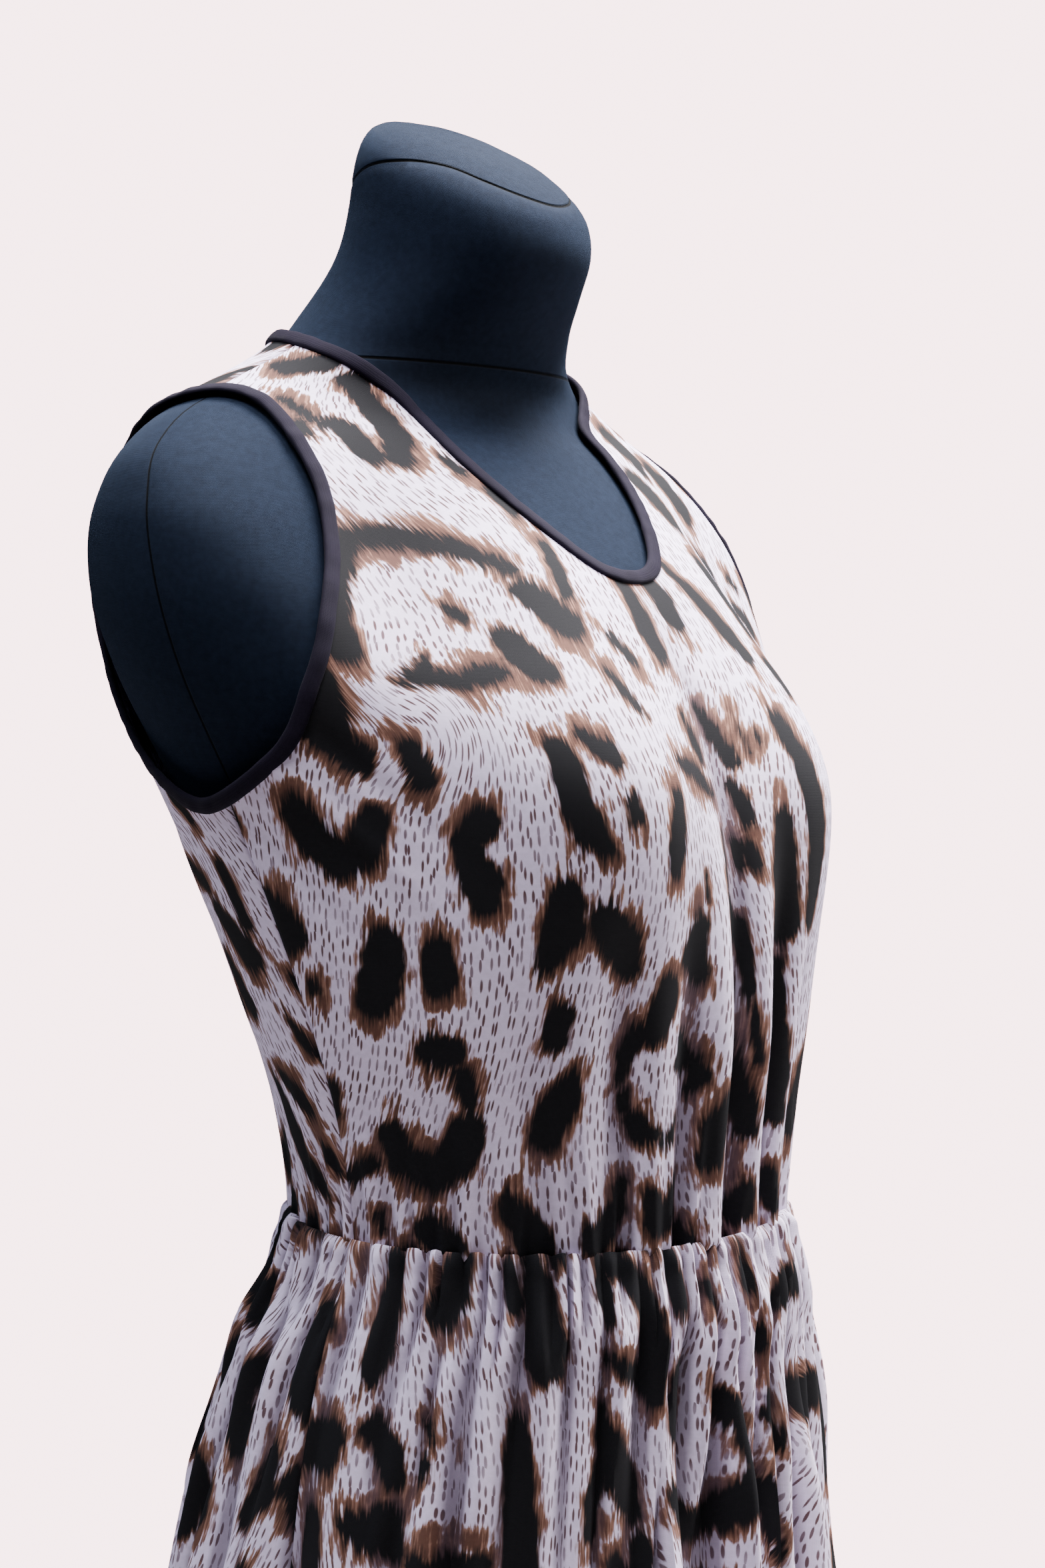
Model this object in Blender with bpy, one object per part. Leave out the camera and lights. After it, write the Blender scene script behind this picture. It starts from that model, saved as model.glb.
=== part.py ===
"""Sleeveless sundress with a gathered skirt, on a limbless dress form and its pole stand.

Metres, +Z up. The figure faces -Y and its right side is -X. The origin is the middle of the
base plate's underside. A place on the figure is a turn, in degrees from the centre front round
the left side (90) to the centre back (180), and a height in metres above the waist seam.
"""

from collections import namedtuple

import bmesh
import bpy
import numpy as np
from mathutils import Vector
from mathutils.geometry import delaunay_2d_cdt

# Driving sizes, in metres
WAIST_HEIGHT = 1.04
SKIRT_LENGTH = 0.58
CLOTH_WALL = 0.0012
CLOTH_CLEARANCE = 0.001
SEAM_GAP = 0.0003
BINDING_WIDTH = 0.008
BINDING_PROUD = 0.0013
BASE_RADIUS = 0.19
BASE_THICKNESS = 0.006
POLE_RADIUS = 0.014
COLLAR_RADIUS = 0.026
COLLAR_HEIGHT = 0.045
COLLAR_FOOT = 0.032
COLLAR_FOOT_THICKNESS = 0.004
COLLAR_TOP = 0.019
COLLAR_CHAMFER = 0.006
SOCKET_RADIUS = 0.055
SOCKET_HEIGHT = 0.030
SOCKET_FLANGE = 0.006
SOCKET_WALL = 0.006
EDGE_ROUND = 0.0015
FORM_ROUND = 0.006

# Where the parts of the figure begin and end, in metres above the waist
FORM_BOTTOM = -0.27
FORM_TOP = 0.534

# How finely the faceted surfaces are cut
FORM_SIDES = 54
TURNED_SIDES = 36
FILL_PITCH = 0.0195
FILL_MARGIN = 0.0100
FLAT_ERROR = 1e-7
WAIST_STEPS = 13
SIDE_SEAM_STEPS = 12
SHOULDER_STEPS = 6
NECK_STEPS = 12
ARMHOLE_STEPS = 15
SHOULDER_CROWDING = 1.35
SKIRT_COLUMNS = 44
CURVE_STEPS = 360
RING_STEPS = 60
SHARP_ANGLE = 40

Section = namedtuple("Section", "height half_width front behind centre slope")
Swell = namedtuple("Swell", "across height out wide tall")
Ease = namedtuple("Ease", "height ease")
Edge = namedtuple("Edge", "turn height")
Fold = namedtuple("Fold", "turn spread depth lean")
Lip = namedtuple("Lip", "beside lift")

# Level sections of the form, an ellipse each. The slope tips a section up towards the back.
FORM_SECTIONS = (
    Section(-0.270, 0.150, 0.098, 0.116, 0.004, 0.00),
    Section(-0.200, 0.165, 0.104, 0.124, 0.004, 0.00),
    Section(-0.120, 0.160, 0.104, 0.118, 0.002, 0.02),
    Section(-0.050, 0.140, 0.104, 0.103, 0.000, 0.05),
    Section(0.000, 0.128, 0.103, 0.093, -0.001, 0.05),
    Section(0.050, 0.134, 0.107, 0.096, 0.001, 0.05),
    Section(0.100, 0.148, 0.115, 0.107, 0.006, 0.03),
    Section(0.150, 0.162, 0.119, 0.112, 0.016, 0.01),
    Section(0.190, 0.175, 0.123, 0.118, 0.026, 0.00),
    Section(0.225, 0.190, 0.126, 0.127, 0.035, 0.00),
    Section(0.270, 0.207, 0.124, 0.139, 0.045, 0.00),
    Section(0.310, 0.213, 0.114, 0.142, 0.054, 0.00),
    Section(0.345, 0.207, 0.094, 0.126, 0.064, 0.00),
    Section(0.372, 0.188, 0.076, 0.098, 0.075, 0.00),
    Section(0.390, 0.161, 0.062, 0.080, 0.081, 0.00),
    Section(0.405, 0.128, 0.056, 0.067, 0.080, 0.01),
    Section(0.420, 0.099, 0.056, 0.060, 0.073, 0.05),
    Section(0.440, 0.079, 0.056, 0.062, 0.061, 0.12),
    Section(0.462, 0.066, 0.057, 0.061, 0.048, 0.21),
    Section(0.487, 0.062, 0.060, 0.060, 0.041, 0.28),
    Section(0.500, 0.0616, 0.0594, 0.0570, 0.041, 0.33),
    Section(0.510, 0.0596, 0.0574, 0.0530, 0.042, 0.37),
    Section(0.518, 0.0552, 0.0520, 0.0492, 0.043, 0.40),
    Section(0.525, 0.0475, 0.0430, 0.0435, 0.044, 0.42),
    Section(0.530, 0.037, 0.033, 0.0335, 0.045, 0.43),
    Section(0.534, 0.018, 0.015, 0.0165, 0.046, 0.43),
)
# Soft rises and hollows of the front, one on each side. They fade out towards the side seams.
FRONT_SHARE = 1.6
SWELLS = (
    Swell(0.078, 0.215, 0.029, 0.064, 0.060),
    Swell(0.074, 0.150, 0.007, 0.064, 0.045),
    Swell(0.145, 0.315, -0.024, 0.055, 0.060),
    Swell(0.000, 0.325, -0.006, 0.060, 0.050),
)
# Heights at which the form is cut, between the given sections where it turns sharply
FORM_CUTS = (
    -0.270, -0.235, -0.200, -0.160, -0.120, -0.085, -0.050, -0.025, 0.000, 0.025, 0.050, 0.075,
    0.100, 0.125, 0.150, 0.170, 0.190, 0.207, 0.225, 0.247, 0.270, 0.290, 0.310, 0.328, 0.345,
    0.359, 0.372, 0.381, 0.390, 0.3975, 0.405, 0.4125, 0.420, 0.430, 0.440, 0.451, 0.462, 0.472,
)
NECK_CAP_CUTS = (0.5235, 0.527, 0.5305)
# How far the bodice stands off the form
BODICE_EASE = (
    Ease(0.000, 0.008),
    Ease(0.050, 0.010),
    Ease(0.100, 0.010),
    Ease(0.150, 0.010),
    Ease(0.190, 0.008),
    Ease(0.225, 0.005),
    Ease(0.270, 0.003),
    Ease(0.310, 0.0018),
    Ease(0.340, 0.0012),
    Ease(0.375, 0.0016),
    Ease(0.440, 0.0016),
)
# The seam of the neck's cap, half way round
CAP_SEAM = (
    Edge(-20.0, 0.5170),
    Edge(0.0, 0.5155),
    Edge(20.0, 0.5170),
    Edge(41.0, 0.5195),
    Edge(60.0, 0.5212),
    Edge(78.0, 0.5185),
    Edge(93.0, 0.5135),
    Edge(142.0, 0.4930),
    Edge(180.0, 0.4870),
    Edge(218.0, 0.4930),
)
# The neckline, half way round
NECK_EDGE = (
    Edge(0.0, 0.3095),
    Edge(12.0, 0.3150),
    Edge(21.0, 0.3290),
    Edge(28.5, 0.3430),
    Edge(38.0, 0.3635),
    Edge(48.0, 0.3880),
    Edge(63.0, 0.4090),
    Edge(82.0, 0.4215),
    Edge(105.0, 0.4270),
    Edge(135.0, 0.4230),
    Edge(160.0, 0.4150),
    Edge(180.0, 0.4110),
)
# The left armhole, from the shoulder down its front and up its back
ARMHOLE_EDGE = (
    Edge(90.0, 0.3975),
    Edge(79.0, 0.3930),
    Edge(71.0, 0.3765),
    Edge(65.0, 0.3510),
    Edge(63.0, 0.3195),
    Edge(66.0, 0.2887),
    Edge(70.5, 0.2615),
    Edge(78.5, 0.2285),
    Edge(94.0, 0.2048),
    Edge(106.0, 0.2180),
    Edge(117.0, 0.2440),
    Edge(125.0, 0.2760),
    Edge(128.0, 0.3120),
    Edge(125.5, 0.3440),
    Edge(117.0, 0.3710),
    Edge(104.0, 0.3900),
)
# The skirt between its folds. It leaves the bodice's edge and puffs out below the seam.
SKIRT_SECTIONS = (
    Section(-0.580, 0.248, 0.206, 0.212, 0.017, 0.00),
    Section(-0.440, 0.226, 0.183, 0.189, 0.017, 0.00),
    Section(-0.300, 0.203, 0.160, 0.166, 0.016, 0.00),
    Section(-0.184, 0.183, 0.140, 0.146, 0.014, 0.01),
    Section(-0.144, 0.176, 0.135, 0.140, 0.011, 0.02),
    Section(-0.104, 0.170, 0.130, 0.134, 0.007, 0.03),
    Section(-0.064, 0.162, 0.125, 0.128, 0.003, 0.04),
    Section(-0.023, 0.148, 0.123, 0.117, -0.001, 0.05),
    Section(-0.008, 0.143, 0.118, 0.109, -0.001, 0.05),
    Section(0.000, 0.1382, 0.1132, 0.1032, -0.001, 0.05),
)
SKIRT_CUTS = (-0.006, -0.020, -0.050, -0.095, -0.155, -0.235, -0.340, -0.460)
# Folds of the skirt: where each one's ridge hangs at the hem, in turns from the side seam's zero
SKIRT_FOLDS = (
    Fold(-168.0, 9.0, 0.022, 5.0),
    Fold(-140.0, 8.0, 0.026, -3.0),
    Fold(-116.0, 9.0, 0.020, 4.0),
    Fold(-74.0, 9.0, 0.022, -6.0),
    Fold(-49.0, 7.5, 0.026, -4.0),
    Fold(-24.0, 8.5, 0.021, 3.0),
    Fold(-1.0, 7.5, 0.024, 2.0),
    Fold(22.0, 8.0, 0.022, -2.0),
    Fold(47.0, 8.5, 0.026, 4.0),
    Fold(73.0, 8.5, 0.021, 5.0),
    Fold(113.0, 9.0, 0.023, -4.0),
    Fold(139.0, 8.5, 0.020, 3.0),
    Fold(165.0, 8.0, 0.025, -4.0),
)
# Half of the gap at a side seam, in degrees of turn at the waist
SEAM_TURN = np.degrees(SEAM_GAP / 2 / SKIRT_SECTIONS[-1].half_width)
FOLD_GROWTH = 1.3
FOLD_VALLEY = 0.008
# The binding's section: how far beside its middle line, and how far off the cloth's inside
BINDING_LIPS = (
    Lip(-0.50 * BINDING_WIDTH, 0.0),
    Lip(-0.50 * BINDING_WIDTH, CLOTH_WALL + 0.4 * BINDING_PROUD),
    Lip(-0.30 * BINDING_WIDTH, CLOTH_WALL + BINDING_PROUD),
    Lip(0.30 * BINDING_WIDTH, CLOTH_WALL + BINDING_PROUD),
    Lip(0.50 * BINDING_WIDTH, CLOTH_WALL + 0.4 * BINDING_PROUD),
    Lip(0.50 * BINDING_WIDTH, 0.0),
)

COLOURS = {
    # name: red, green, blue, roughness, metallic
    "printed_jersey": (0.56, 0.51, 0.54, 0.80, 0.0),
    "binding_jersey": (0.030, 0.022, 0.034, 0.75, 0.0),
    "form_jersey": (0.012, 0.012, 0.017, 0.65, 0.0),
    "black_steel": (0.030, 0.030, 0.032, 0.40, 0.8),
    "polished_steel": (0.62, 0.62, 0.64, 0.25, 1.0),
}


def clear_scene():
    for thing in list(bpy.data.objects):
        bpy.data.objects.remove(thing, do_unlink=True)


def material_of(name):
    """The named finish, made the first time that a piece asks for it."""
    found = bpy.data.materials.get(name)
    if found:
        return found
    *colour, roughness, metallic = COLOURS[name]
    made = bpy.data.materials.new(name)
    made.use_nodes = True
    shader = made.node_tree.nodes["Principled BSDF"]
    shader.inputs["Base Color"].default_value = (*colour, 1.0)
    shader.inputs["Roughness"].default_value = roughness
    shader.inputs["Metallic"].default_value = metallic
    return made


def finished(name, body, material):
    bmesh.ops.recalc_face_normals(body, faces=body.faces)
    mesh = bpy.data.meshes.new(name)
    body.to_mesh(mesh)
    body.free()
    mesh.shade_smooth()
    mesh.set_sharp_from_angle(angle=np.radians(SHARP_ANGLE))
    mesh.materials.append(material_of(material))
    piece = bpy.data.objects.new(name, mesh)
    bpy.context.collection.objects.link(piece)
    return piece


def loft(name, loops, ends, material):
    """A closed body through loops of points; its ends are joined, flat, strips, or cross a wall."""
    body = bmesh.new()
    rings = [[body.verts.new(point) for point in loop] for loop in loops]
    above = rings[1:] + rings[:1] if ends == "joined" else rings[1:]
    for low, high in zip(rings, above):
        for corners in zip(low, low[1:] + low[:1], high[1:] + high[:1], high):
            body.faces.new(corners)
    for ring in (rings[0], rings[-1]):
        if ends == "flat":
            body.faces.new(ring)
        if ends == "mirrored":
            for i in range(len(ring) // 2):
                body.faces.new(list(dict.fromkeys((ring[i], ring[i + 1], ring[-i - 1], ring[-i]))))
        if ends == "wall":
            for i in range(len(ring) // 2 - 1):
                body.faces.new((ring[i], ring[i + 1], ring[-i - 2], ring[-i - 1]))
    return finished(name, body, material)


def wall(name, outside, inside, triangles, rim, material):
    """A thin closed body: the same triangles outside and inside, joined round the rim."""
    body = bmesh.new()
    used = sorted({corner for triangle in triangles for corner in triangle})
    outer = {corner: body.verts.new(outside[corner]) for corner in used}
    inner = {corner: body.verts.new(inside[corner]) for corner in used}
    for skin in (outer, inner):
        for triangle in triangles:
            body.faces.new([skin[corner] for corner in triangle])
    for here, there in zip(rim, rim[1:] + rim[:1]):
        body.faces.new((outer[here], outer[there], inner[there], inner[here]))
    return finished(name, body, material)


# ---- the figure ----


def smooth_rows(rows, places):
    """The columns after the first, read from a smooth curve through the rows."""
    table = np.array(rows, float)
    at, values = table[:, 0], table[:, 1:]
    places = np.clip(places, at[0], at[-1])
    slopes = np.gradient(values, at, axis=0)
    row = np.clip(np.searchsorted(at, places) - 1, 0, len(at) - 2)
    step = (at[row + 1] - at[row])[..., None]
    t = (places - at[row])[..., None] / step
    leaving = (1 + 2 * t) * values[row] + t * step * slopes[row]
    arriving = (3 - 2 * t) * values[row + 1] - (1 - t) * step * slopes[row + 1]
    return (1 - t) ** 2 * leaving + t**2 * arriving


def ring_point(sections, turn, height, ease=0.0):
    """Points on the ellipses that a table of sections gives, each grown by its ease."""
    turn, height, ease = np.broadcast_arrays(np.radians(turn), height, ease)
    columns = np.moveaxis(smooth_rows(sections, height), -1, 0)
    half_width, front, behind, centre, slope = columns
    side, ahead = np.sin(turn), np.cos(turn)
    depth = np.where(ahead > 0, front, behind) + ease
    reach = 1 / np.hypot(side / (half_width + ease), ahead / depth)
    x, y = reach * side, -reach * ahead
    return np.stack([x, y + centre, WAIST_HEIGHT + height + slope * y], axis=-1)


def figure_point(turn, height, ease=0.0):
    """The form's surface, with the bust and the hollows in front of the shoulders."""
    point = ring_point(FORM_SECTIONS, turn, height, ease)
    facing = np.clip(FRONT_SHARE * np.cos(np.radians(turn)), 0, 1)
    for swell in SWELLS:
        across = (np.abs(point[..., 0]) - swell.across) / swell.wide
        along = (height - swell.height) / swell.tall
        point[..., 1] -= swell.out * facing * np.exp(-(across**2) - along**2)
    return point


def bodice_point(turn, height):
    return figure_point(turn, height, smooth_rows(BODICE_EASE, height)[..., 0])


def skirt_point(turn, height):
    """The skirt's folded surface; the folds deepen from nothing at the waist to the hem."""
    point = ring_point(SKIRT_SECTIONS, turn, height)
    drop = -height / SKIRT_LENGTH
    rise = np.full(np.broadcast(turn, height).shape, -FOLD_VALLEY)
    for fold in SKIRT_FOLDS:
        ridge = fold.turn + fold.lean * (drop - 1)
        away = (turn - ridge + 180) % 360 - 180
        rise += fold.depth * np.exp(-((away / fold.spread) ** 2))
    rise *= np.clip(drop, 0, 1) ** FOLD_GROWTH
    point[..., 0] += rise * np.sin(np.radians(turn))
    point[..., 1] -= rise * np.cos(np.radians(turn))
    return point


# ---- moving over a surface ----


def spans(surface, turn, height):
    """How far a point moves for a degree of turn and for a metre of height."""
    small_turn, small_height = 0.05, 0.0002
    round_it = surface(turn + small_turn, height) - surface(turn - small_turn, height)
    up_it = surface(turn, height + small_height) - surface(turn, height - small_height)
    return round_it / (2 * small_turn), up_it / (2 * small_height)


def outward(surface, turn, height):
    normal = np.cross(*spans(surface, turn, height))
    return normal / np.linalg.norm(normal, axis=-1, keepdims=True)


def lifted(surface, turn, height, lift):
    return surface(turn, height) + lift * outward(surface, turn, height)


def moved(turn, height, move):
    """The turn and height reached by a short move along the bodice."""
    by_turn, by_height = spans(bodice_point, turn, height)
    turn_turn = (by_turn**2).sum(-1)
    turn_height = (by_turn * by_height).sum(-1)
    height_height = (by_height**2).sum(-1)
    along_turn = (by_turn * move).sum(-1)
    along_height = (by_height * move).sum(-1)
    scale = turn_turn * height_height - turn_height**2
    return (
        turn + (height_height * along_turn - turn_height * along_height) / scale,
        height + (turn_turn * along_height - turn_height * along_turn) / scale,
    )


# ---- the openings' edges ----


def cut_line(turn, height, count, crowding=1.0):
    """An open line on the bodice, cut into lengths that are equal or crowd towards its start."""
    points = bodice_point(turn, height)
    run = np.concatenate([[0], np.cumsum(np.linalg.norm(np.diff(points, axis=0), axis=1))])
    stops = run[-1] * np.linspace(0, 1, count + 1) ** crowding
    return np.column_stack([np.interp(stops, run, turn), np.interp(stops, run, height)])


def neck_places():
    """Turns and heights round the neckline from the centre back, cut at the shoulders."""
    half = list(NECK_EDGE)
    before = [Edge(-row.turn, row.height) for row in half[2:0:-1]]
    after = [Edge(360 - row.turn, row.height) for row in half[-2:-4:-1]]
    quarters = []
    for end in (0, 180):
        turn = np.linspace(90, end, CURVE_STEPS)
        height = smooth_rows(before + half + after, turn)[..., 0]
        quarters.append(cut_line(turn, height, NECK_STEPS, SHOULDER_CROWDING))
    left = np.vstack([quarters[0][::-1], quarters[1][1:]])
    return np.vstack([left[:0:-1] * (-1, 1), left[:-1]])


def armhole_places():
    """Turns and heights round the left armhole: down its front from the shoulder, and back up."""
    rows = np.array(ARMHOLE_EDGE)
    numbered = np.column_stack([
        np.arange(-2, len(rows) + 3),
        np.vstack([rows[-2:], rows, rows[:3]]),
    ])
    turn, height = smooth_rows(numbered, np.linspace(0, len(rows), CURVE_STEPS)).T
    under = 1 + np.argmax(turn[1:] >= 90)
    turn = np.insert(turn, under, 90)
    height = np.insert(height, under, np.mean(height[under - 1 : under + 1]))
    front = cut_line(turn[: under + 1], height[: under + 1], ARMHOLE_STEPS, SHOULDER_CROWDING)
    back = cut_line(turn[:under:-1], height[:under:-1], ARMHOLE_STEPS, SHOULDER_CROWDING)
    return np.vstack([front, back[-2:0:-1]])


def beside(places, distance):
    """Places beside a closed line; a negative distance lies in the opening.

    Places on the shoulder and side seams stay on them.
    """
    turn, height = places.T
    point = bodice_point(turn, height)
    tangent = np.roll(point, -1, axis=0) - np.roll(point, 1, axis=0)
    away = np.cross(tangent, outward(bodice_point, turn, height))
    away /= np.linalg.norm(away, axis=-1, keepdims=True)
    found = np.column_stack(moved(turn, height, distance * away))
    for i in np.flatnonzero(np.isclose(np.abs(turn), 90)):
        near = found[[i - 1, i, (i + 1) % len(found)]]
        near = near[np.argsort(near[:, 0])]
        found[i] = turn[i], np.interp(turn[i], near[:, 0], near[:, 1])
    return found


def binding(name, places, side):
    """A strip round an opening, seated where the panels' edges end; side -1 mirrors it."""
    lanes = []
    for lip in BINDING_LIPS:
        place = beside(places, lip.beside)
        lanes.append(lifted(bodice_point, *place.T, CLOTH_CLEARANCE + lip.lift))
    sections = np.stack(lanes, axis=1) * (side, 1, 1)
    return loft(name, sections, "joined", "binding_jersey")


# ---- the bodice ----


def run_tables():
    """Heights of the sections, and the length of the side's outline up to each."""
    table = np.array(FORM_SECTIONS)
    hops = np.hypot(np.diff(table[:, 0]), np.diff(table[:, 1]))
    return table[:, 0], np.concatenate([[0], np.cumsum(hops)])


def run_of(height):
    return np.interp(height, *run_tables())


def height_of(run):
    heights, runs = run_tables()
    return np.interp(run, runs, heights)


def lengths_round(middle, seam, height):
    """Turns from a panel's middle to its seam, and the cloth's length up to each, at one height."""
    turn = np.linspace(middle, seam, RING_STEPS + 1)
    hops = np.linalg.norm(np.diff(bodice_point(turn, height), axis=0), axis=1)
    return turn, np.concatenate([[0], np.cumsum(hops)])


def flat_places(places, middle, seam):
    """Turns and heights as places on the flat panel: length from its middle, and run."""
    flat = []
    for turn, height in places:
        turns, lengths = lengths_round(middle, seam, height)
        if seam < middle:
            turns, turn = -turns, -turn
        flat.append((np.interp(turn, turns, lengths), run_of(height)))
    return np.array(flat)


def straight(start, end, count):
    """Places between two, evenly spaced in turn and in the side's outline."""
    turn = np.linspace(start[0], end[0], CURVE_STEPS)
    run = np.linspace(run_of(start[1]), run_of(end[1]), CURVE_STEPS)
    return cut_line(turn, height_of(run), count)


def half_outline(middle, seam):
    """Places round half a panel: out along the waist, up the side, and in to its middle."""
    edge_gap = BINDING_WIDTH / 2 + SEAM_GAP
    neck = beside(neck_places(), edge_gap)
    hole = beside(armhole_places(), edge_gap)
    if middle == 0:
        neck = neck[3 * NECK_STEPS : 2 * NECK_STEPS - 1 : -1]
        hole = hole[ARMHOLE_STEPS::-1]
    else:
        neck = np.vstack([neck[3 * NECK_STEPS :], neck[0] + (360, 0)])
        hole = np.vstack([hole[ARMHOLE_STEPS:], hole[0]])
    neck[0, 0], neck[-1, 0] = seam, middle
    hole[0, 0] = hole[-1, 0] = seam
    waist = straight((middle, SEAM_GAP / 2), (seam, SEAM_GAP / 2), WAIST_STEPS)
    side_seam = straight(waist[-1], hole[0], SIDE_SEAM_STEPS)
    shoulder = straight(hole[-1], neck[0], SHOULDER_STEPS)
    return np.vstack([waist[:-1], side_seam[:-1], hole[:-1], shoulder[:-1], neck])


def fill_rows(middle, seam, outline):
    """Staggered rows of points across the flat panel, clear of its outline, with their places."""
    flat, places = [], []
    rows = np.arange(outline[:, 1].min(), outline[:, 1].max(), FILL_PITCH * np.sqrt(3) / 2)
    for number, run in enumerate(rows[1:]):
        height = float(height_of(run))
        turns, lengths = lengths_round(middle, seam, height)
        for across in np.arange(FILL_PITCH / 2 * (number % 2), lengths[-1], FILL_PITCH):
            turn = np.interp(across, lengths, turns)
            for side in (1, -1) if across else (1,):
                point = np.array([side * across, run])
                if np.linalg.norm(outline - point, axis=1).min() > FILL_MARGIN:
                    flat.append(point)
                    places.append((middle + side * (turn - middle), height))
    return flat, places


def bodice_panel(name, middle):
    """A panel from one side seam to the other, its middle line on the centre front or back."""
    seam = 90 - SEAM_TURN if middle == 0 else 90 + SEAM_TURN
    half = half_outline(middle, seam)
    flat_half = flat_places(half, middle, seam)
    mirrored = half[-2:0:-1] * (-1, 1) + (2 * middle, 0)
    outline = np.vstack([flat_half, flat_half[-2:0:-1] * (-1, 1)])
    flat, places = fill_rows(middle, seam, outline)
    flat = [Vector(point) for point in np.vstack([outline, flat])]
    turn, height = np.vstack([half, mirrored, places]).T
    rim = list(range(len(outline)))
    found = delaunay_2d_cdt(flat, [], [rim], 1, FLAT_ERROR)
    source = [origins[0] for origins in found[3]]
    triangles = [[source[corner] for corner in face] for face in found[2]]
    outside = lifted(bodice_point, turn, height, CLOTH_CLEARANCE + CLOTH_WALL)
    inside = lifted(bodice_point, turn, height, CLOTH_CLEARANCE)
    return wall(name, outside, inside, triangles, rim, "printed_jersey")


# ---- the skirt ----


def wall_loops(surface, turn, height, clearance):
    """Each row as a thin loop: along the cloth's outside and back along its inside."""
    outside = lifted(surface, turn, height, clearance + CLOTH_WALL)
    inside = lifted(surface, turn, height, clearance)
    return np.concatenate([outside, inside[:, ::-1]], axis=1)


def skirt_panel(name, middle):
    """Half of the skirt, from side seam to side seam and from the waist to the hem."""
    reach = 90 - SEAM_TURN
    turn = middle + np.linspace(-reach, reach, SKIRT_COLUMNS + 1)
    cuts = (-SEAM_GAP / 2, *SKIRT_CUTS, -SKIRT_LENGTH)
    turns, heights = np.meshgrid(turn, cuts)
    return loft(name, wall_loops(skirt_point, turns, heights, -CLOTH_WALL), "wall", "printed_jersey")


# ---- the form and its stand ----


def ring_turns(height):
    """Turns that crowd round the figure's narrow sides."""
    half_width, front, behind = smooth_rows(FORM_SECTIONS, np.array(height))[:3]
    share = np.linspace(0, 2 * np.pi, FORM_SIDES, endpoint=False)
    depth = np.where(np.cos(share) > 0, front, behind)
    return np.degrees(np.arctan2(half_width * np.sin(share), depth * np.cos(share)))


def form_ring(height, inset=0.0):
    return figure_point(ring_turns(height), height, -inset)


def seam_ring(level, share, gap):
    """A ring that goes from a level to the seam of the neck's cap as its share goes to 1."""
    turn = ring_turns(level)
    seam = smooth_rows(CAP_SEAM, np.abs(turn))[..., 0] + gap
    return figure_point(turn, level + share * (seam - level))


def form_body():
    """The covered torso and neck, closed by a flat underside with a rounded edge."""
    lip = form_ring(FORM_BOTTOM, FORM_ROUND * 0.3) - (0, 0, FORM_ROUND * 0.7)
    underside = [form_ring(FORM_BOTTOM, FORM_ROUND) - (0, 0, FORM_ROUND), lip]
    neck = [seam_ring(FORM_CUTS[-1], share, -SEAM_GAP / 2) for share in (0.35, 0.7, 1)]
    rings = underside + [form_ring(cut) for cut in FORM_CUTS] + neck
    return loft("form_body", rings, "mirrored", "form_jersey")


def form_neck_cap():
    rim = [seam_ring(NECK_CAP_CUTS[0], share, SEAM_GAP / 2) for share in (1, 0.66, 0.33)]
    rings = rim + [form_ring(cut) for cut in (*NECK_CAP_CUTS, FORM_TOP)]
    return loft("form_neck_cap", rings, "mirrored", "form_jersey")


def turned(name, profile, material):
    """A round piece about the pole's axis, from rows of height and radius, from the bottom up."""
    angle = np.linspace(0, 2 * np.pi, TURNED_SIDES, endpoint=False)
    rings = []
    for height, radius in profile:
        level = np.full(TURNED_SIDES, height)
        rings.append(np.column_stack([radius * np.cos(angle), radius * np.sin(angle), level]))
    return loft(name, rings, "flat", material)


def sleeve(name, profile, bore, material):
    """A round piece with a hole for the pole, from rows of height and radius."""
    angle = np.linspace(0, 2 * np.pi, TURNED_SIDES, endpoint=False)
    bottom, top = profile[0][0], profile[-1][0]
    outline = list(profile) + [(top, bore), (bottom, bore)]
    sections = [
        [(radius * np.cos(a), radius * np.sin(a), height) for height, radius in outline]
        for a in angle
    ]
    return loft(name, sections, "joined", material)


def stand():
    """Base plate, collar, pole, and the socket that carries the form."""
    turned(
        "stand_base",
        (
            (0.0, BASE_RADIUS - EDGE_ROUND),
            (EDGE_ROUND, BASE_RADIUS),
            (BASE_THICKNESS - EDGE_ROUND, BASE_RADIUS),
            (BASE_THICKNESS, BASE_RADIUS - EDGE_ROUND),
        ),
        "black_steel",
    )
    foot = BASE_THICKNESS + SEAM_GAP
    bore = POLE_RADIUS + SEAM_GAP
    collar = (
        (foot, COLLAR_FOOT),
        (foot + COLLAR_FOOT_THICKNESS, COLLAR_FOOT),
        (foot + 2 * COLLAR_FOOT_THICKNESS, COLLAR_RADIUS),
        (foot + COLLAR_HEIGHT - COLLAR_CHAMFER, COLLAR_RADIUS),
        (foot + COLLAR_HEIGHT, COLLAR_TOP),
    )
    sleeve("stand_collar", collar, bore, "black_steel")
    ceiling = WAIST_HEIGHT + FORM_BOTTOM - FORM_ROUND - SEAM_GAP
    turned(
        "stand_pole",
        (
            (foot, POLE_RADIUS - EDGE_ROUND),
            (foot + EDGE_ROUND, POLE_RADIUS),
            (ceiling - EDGE_ROUND, POLE_RADIUS),
            (ceiling, POLE_RADIUS - EDGE_ROUND),
        ),
        "polished_steel",
    )
    socket = (
        (ceiling - SOCKET_HEIGHT, POLE_RADIUS + SOCKET_WALL - EDGE_ROUND),
        (ceiling - SOCKET_HEIGHT + EDGE_ROUND, POLE_RADIUS + SOCKET_WALL),
        (ceiling - SOCKET_FLANGE - EDGE_ROUND, POLE_RADIUS + SOCKET_WALL),
        (ceiling - SOCKET_FLANGE, SOCKET_RADIUS - EDGE_ROUND),
        (ceiling - SOCKET_FLANGE + EDGE_ROUND, SOCKET_RADIUS),
        (ceiling, SOCKET_RADIUS),
    )
    sleeve("form_socket", socket, bore, "black_steel")


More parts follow.
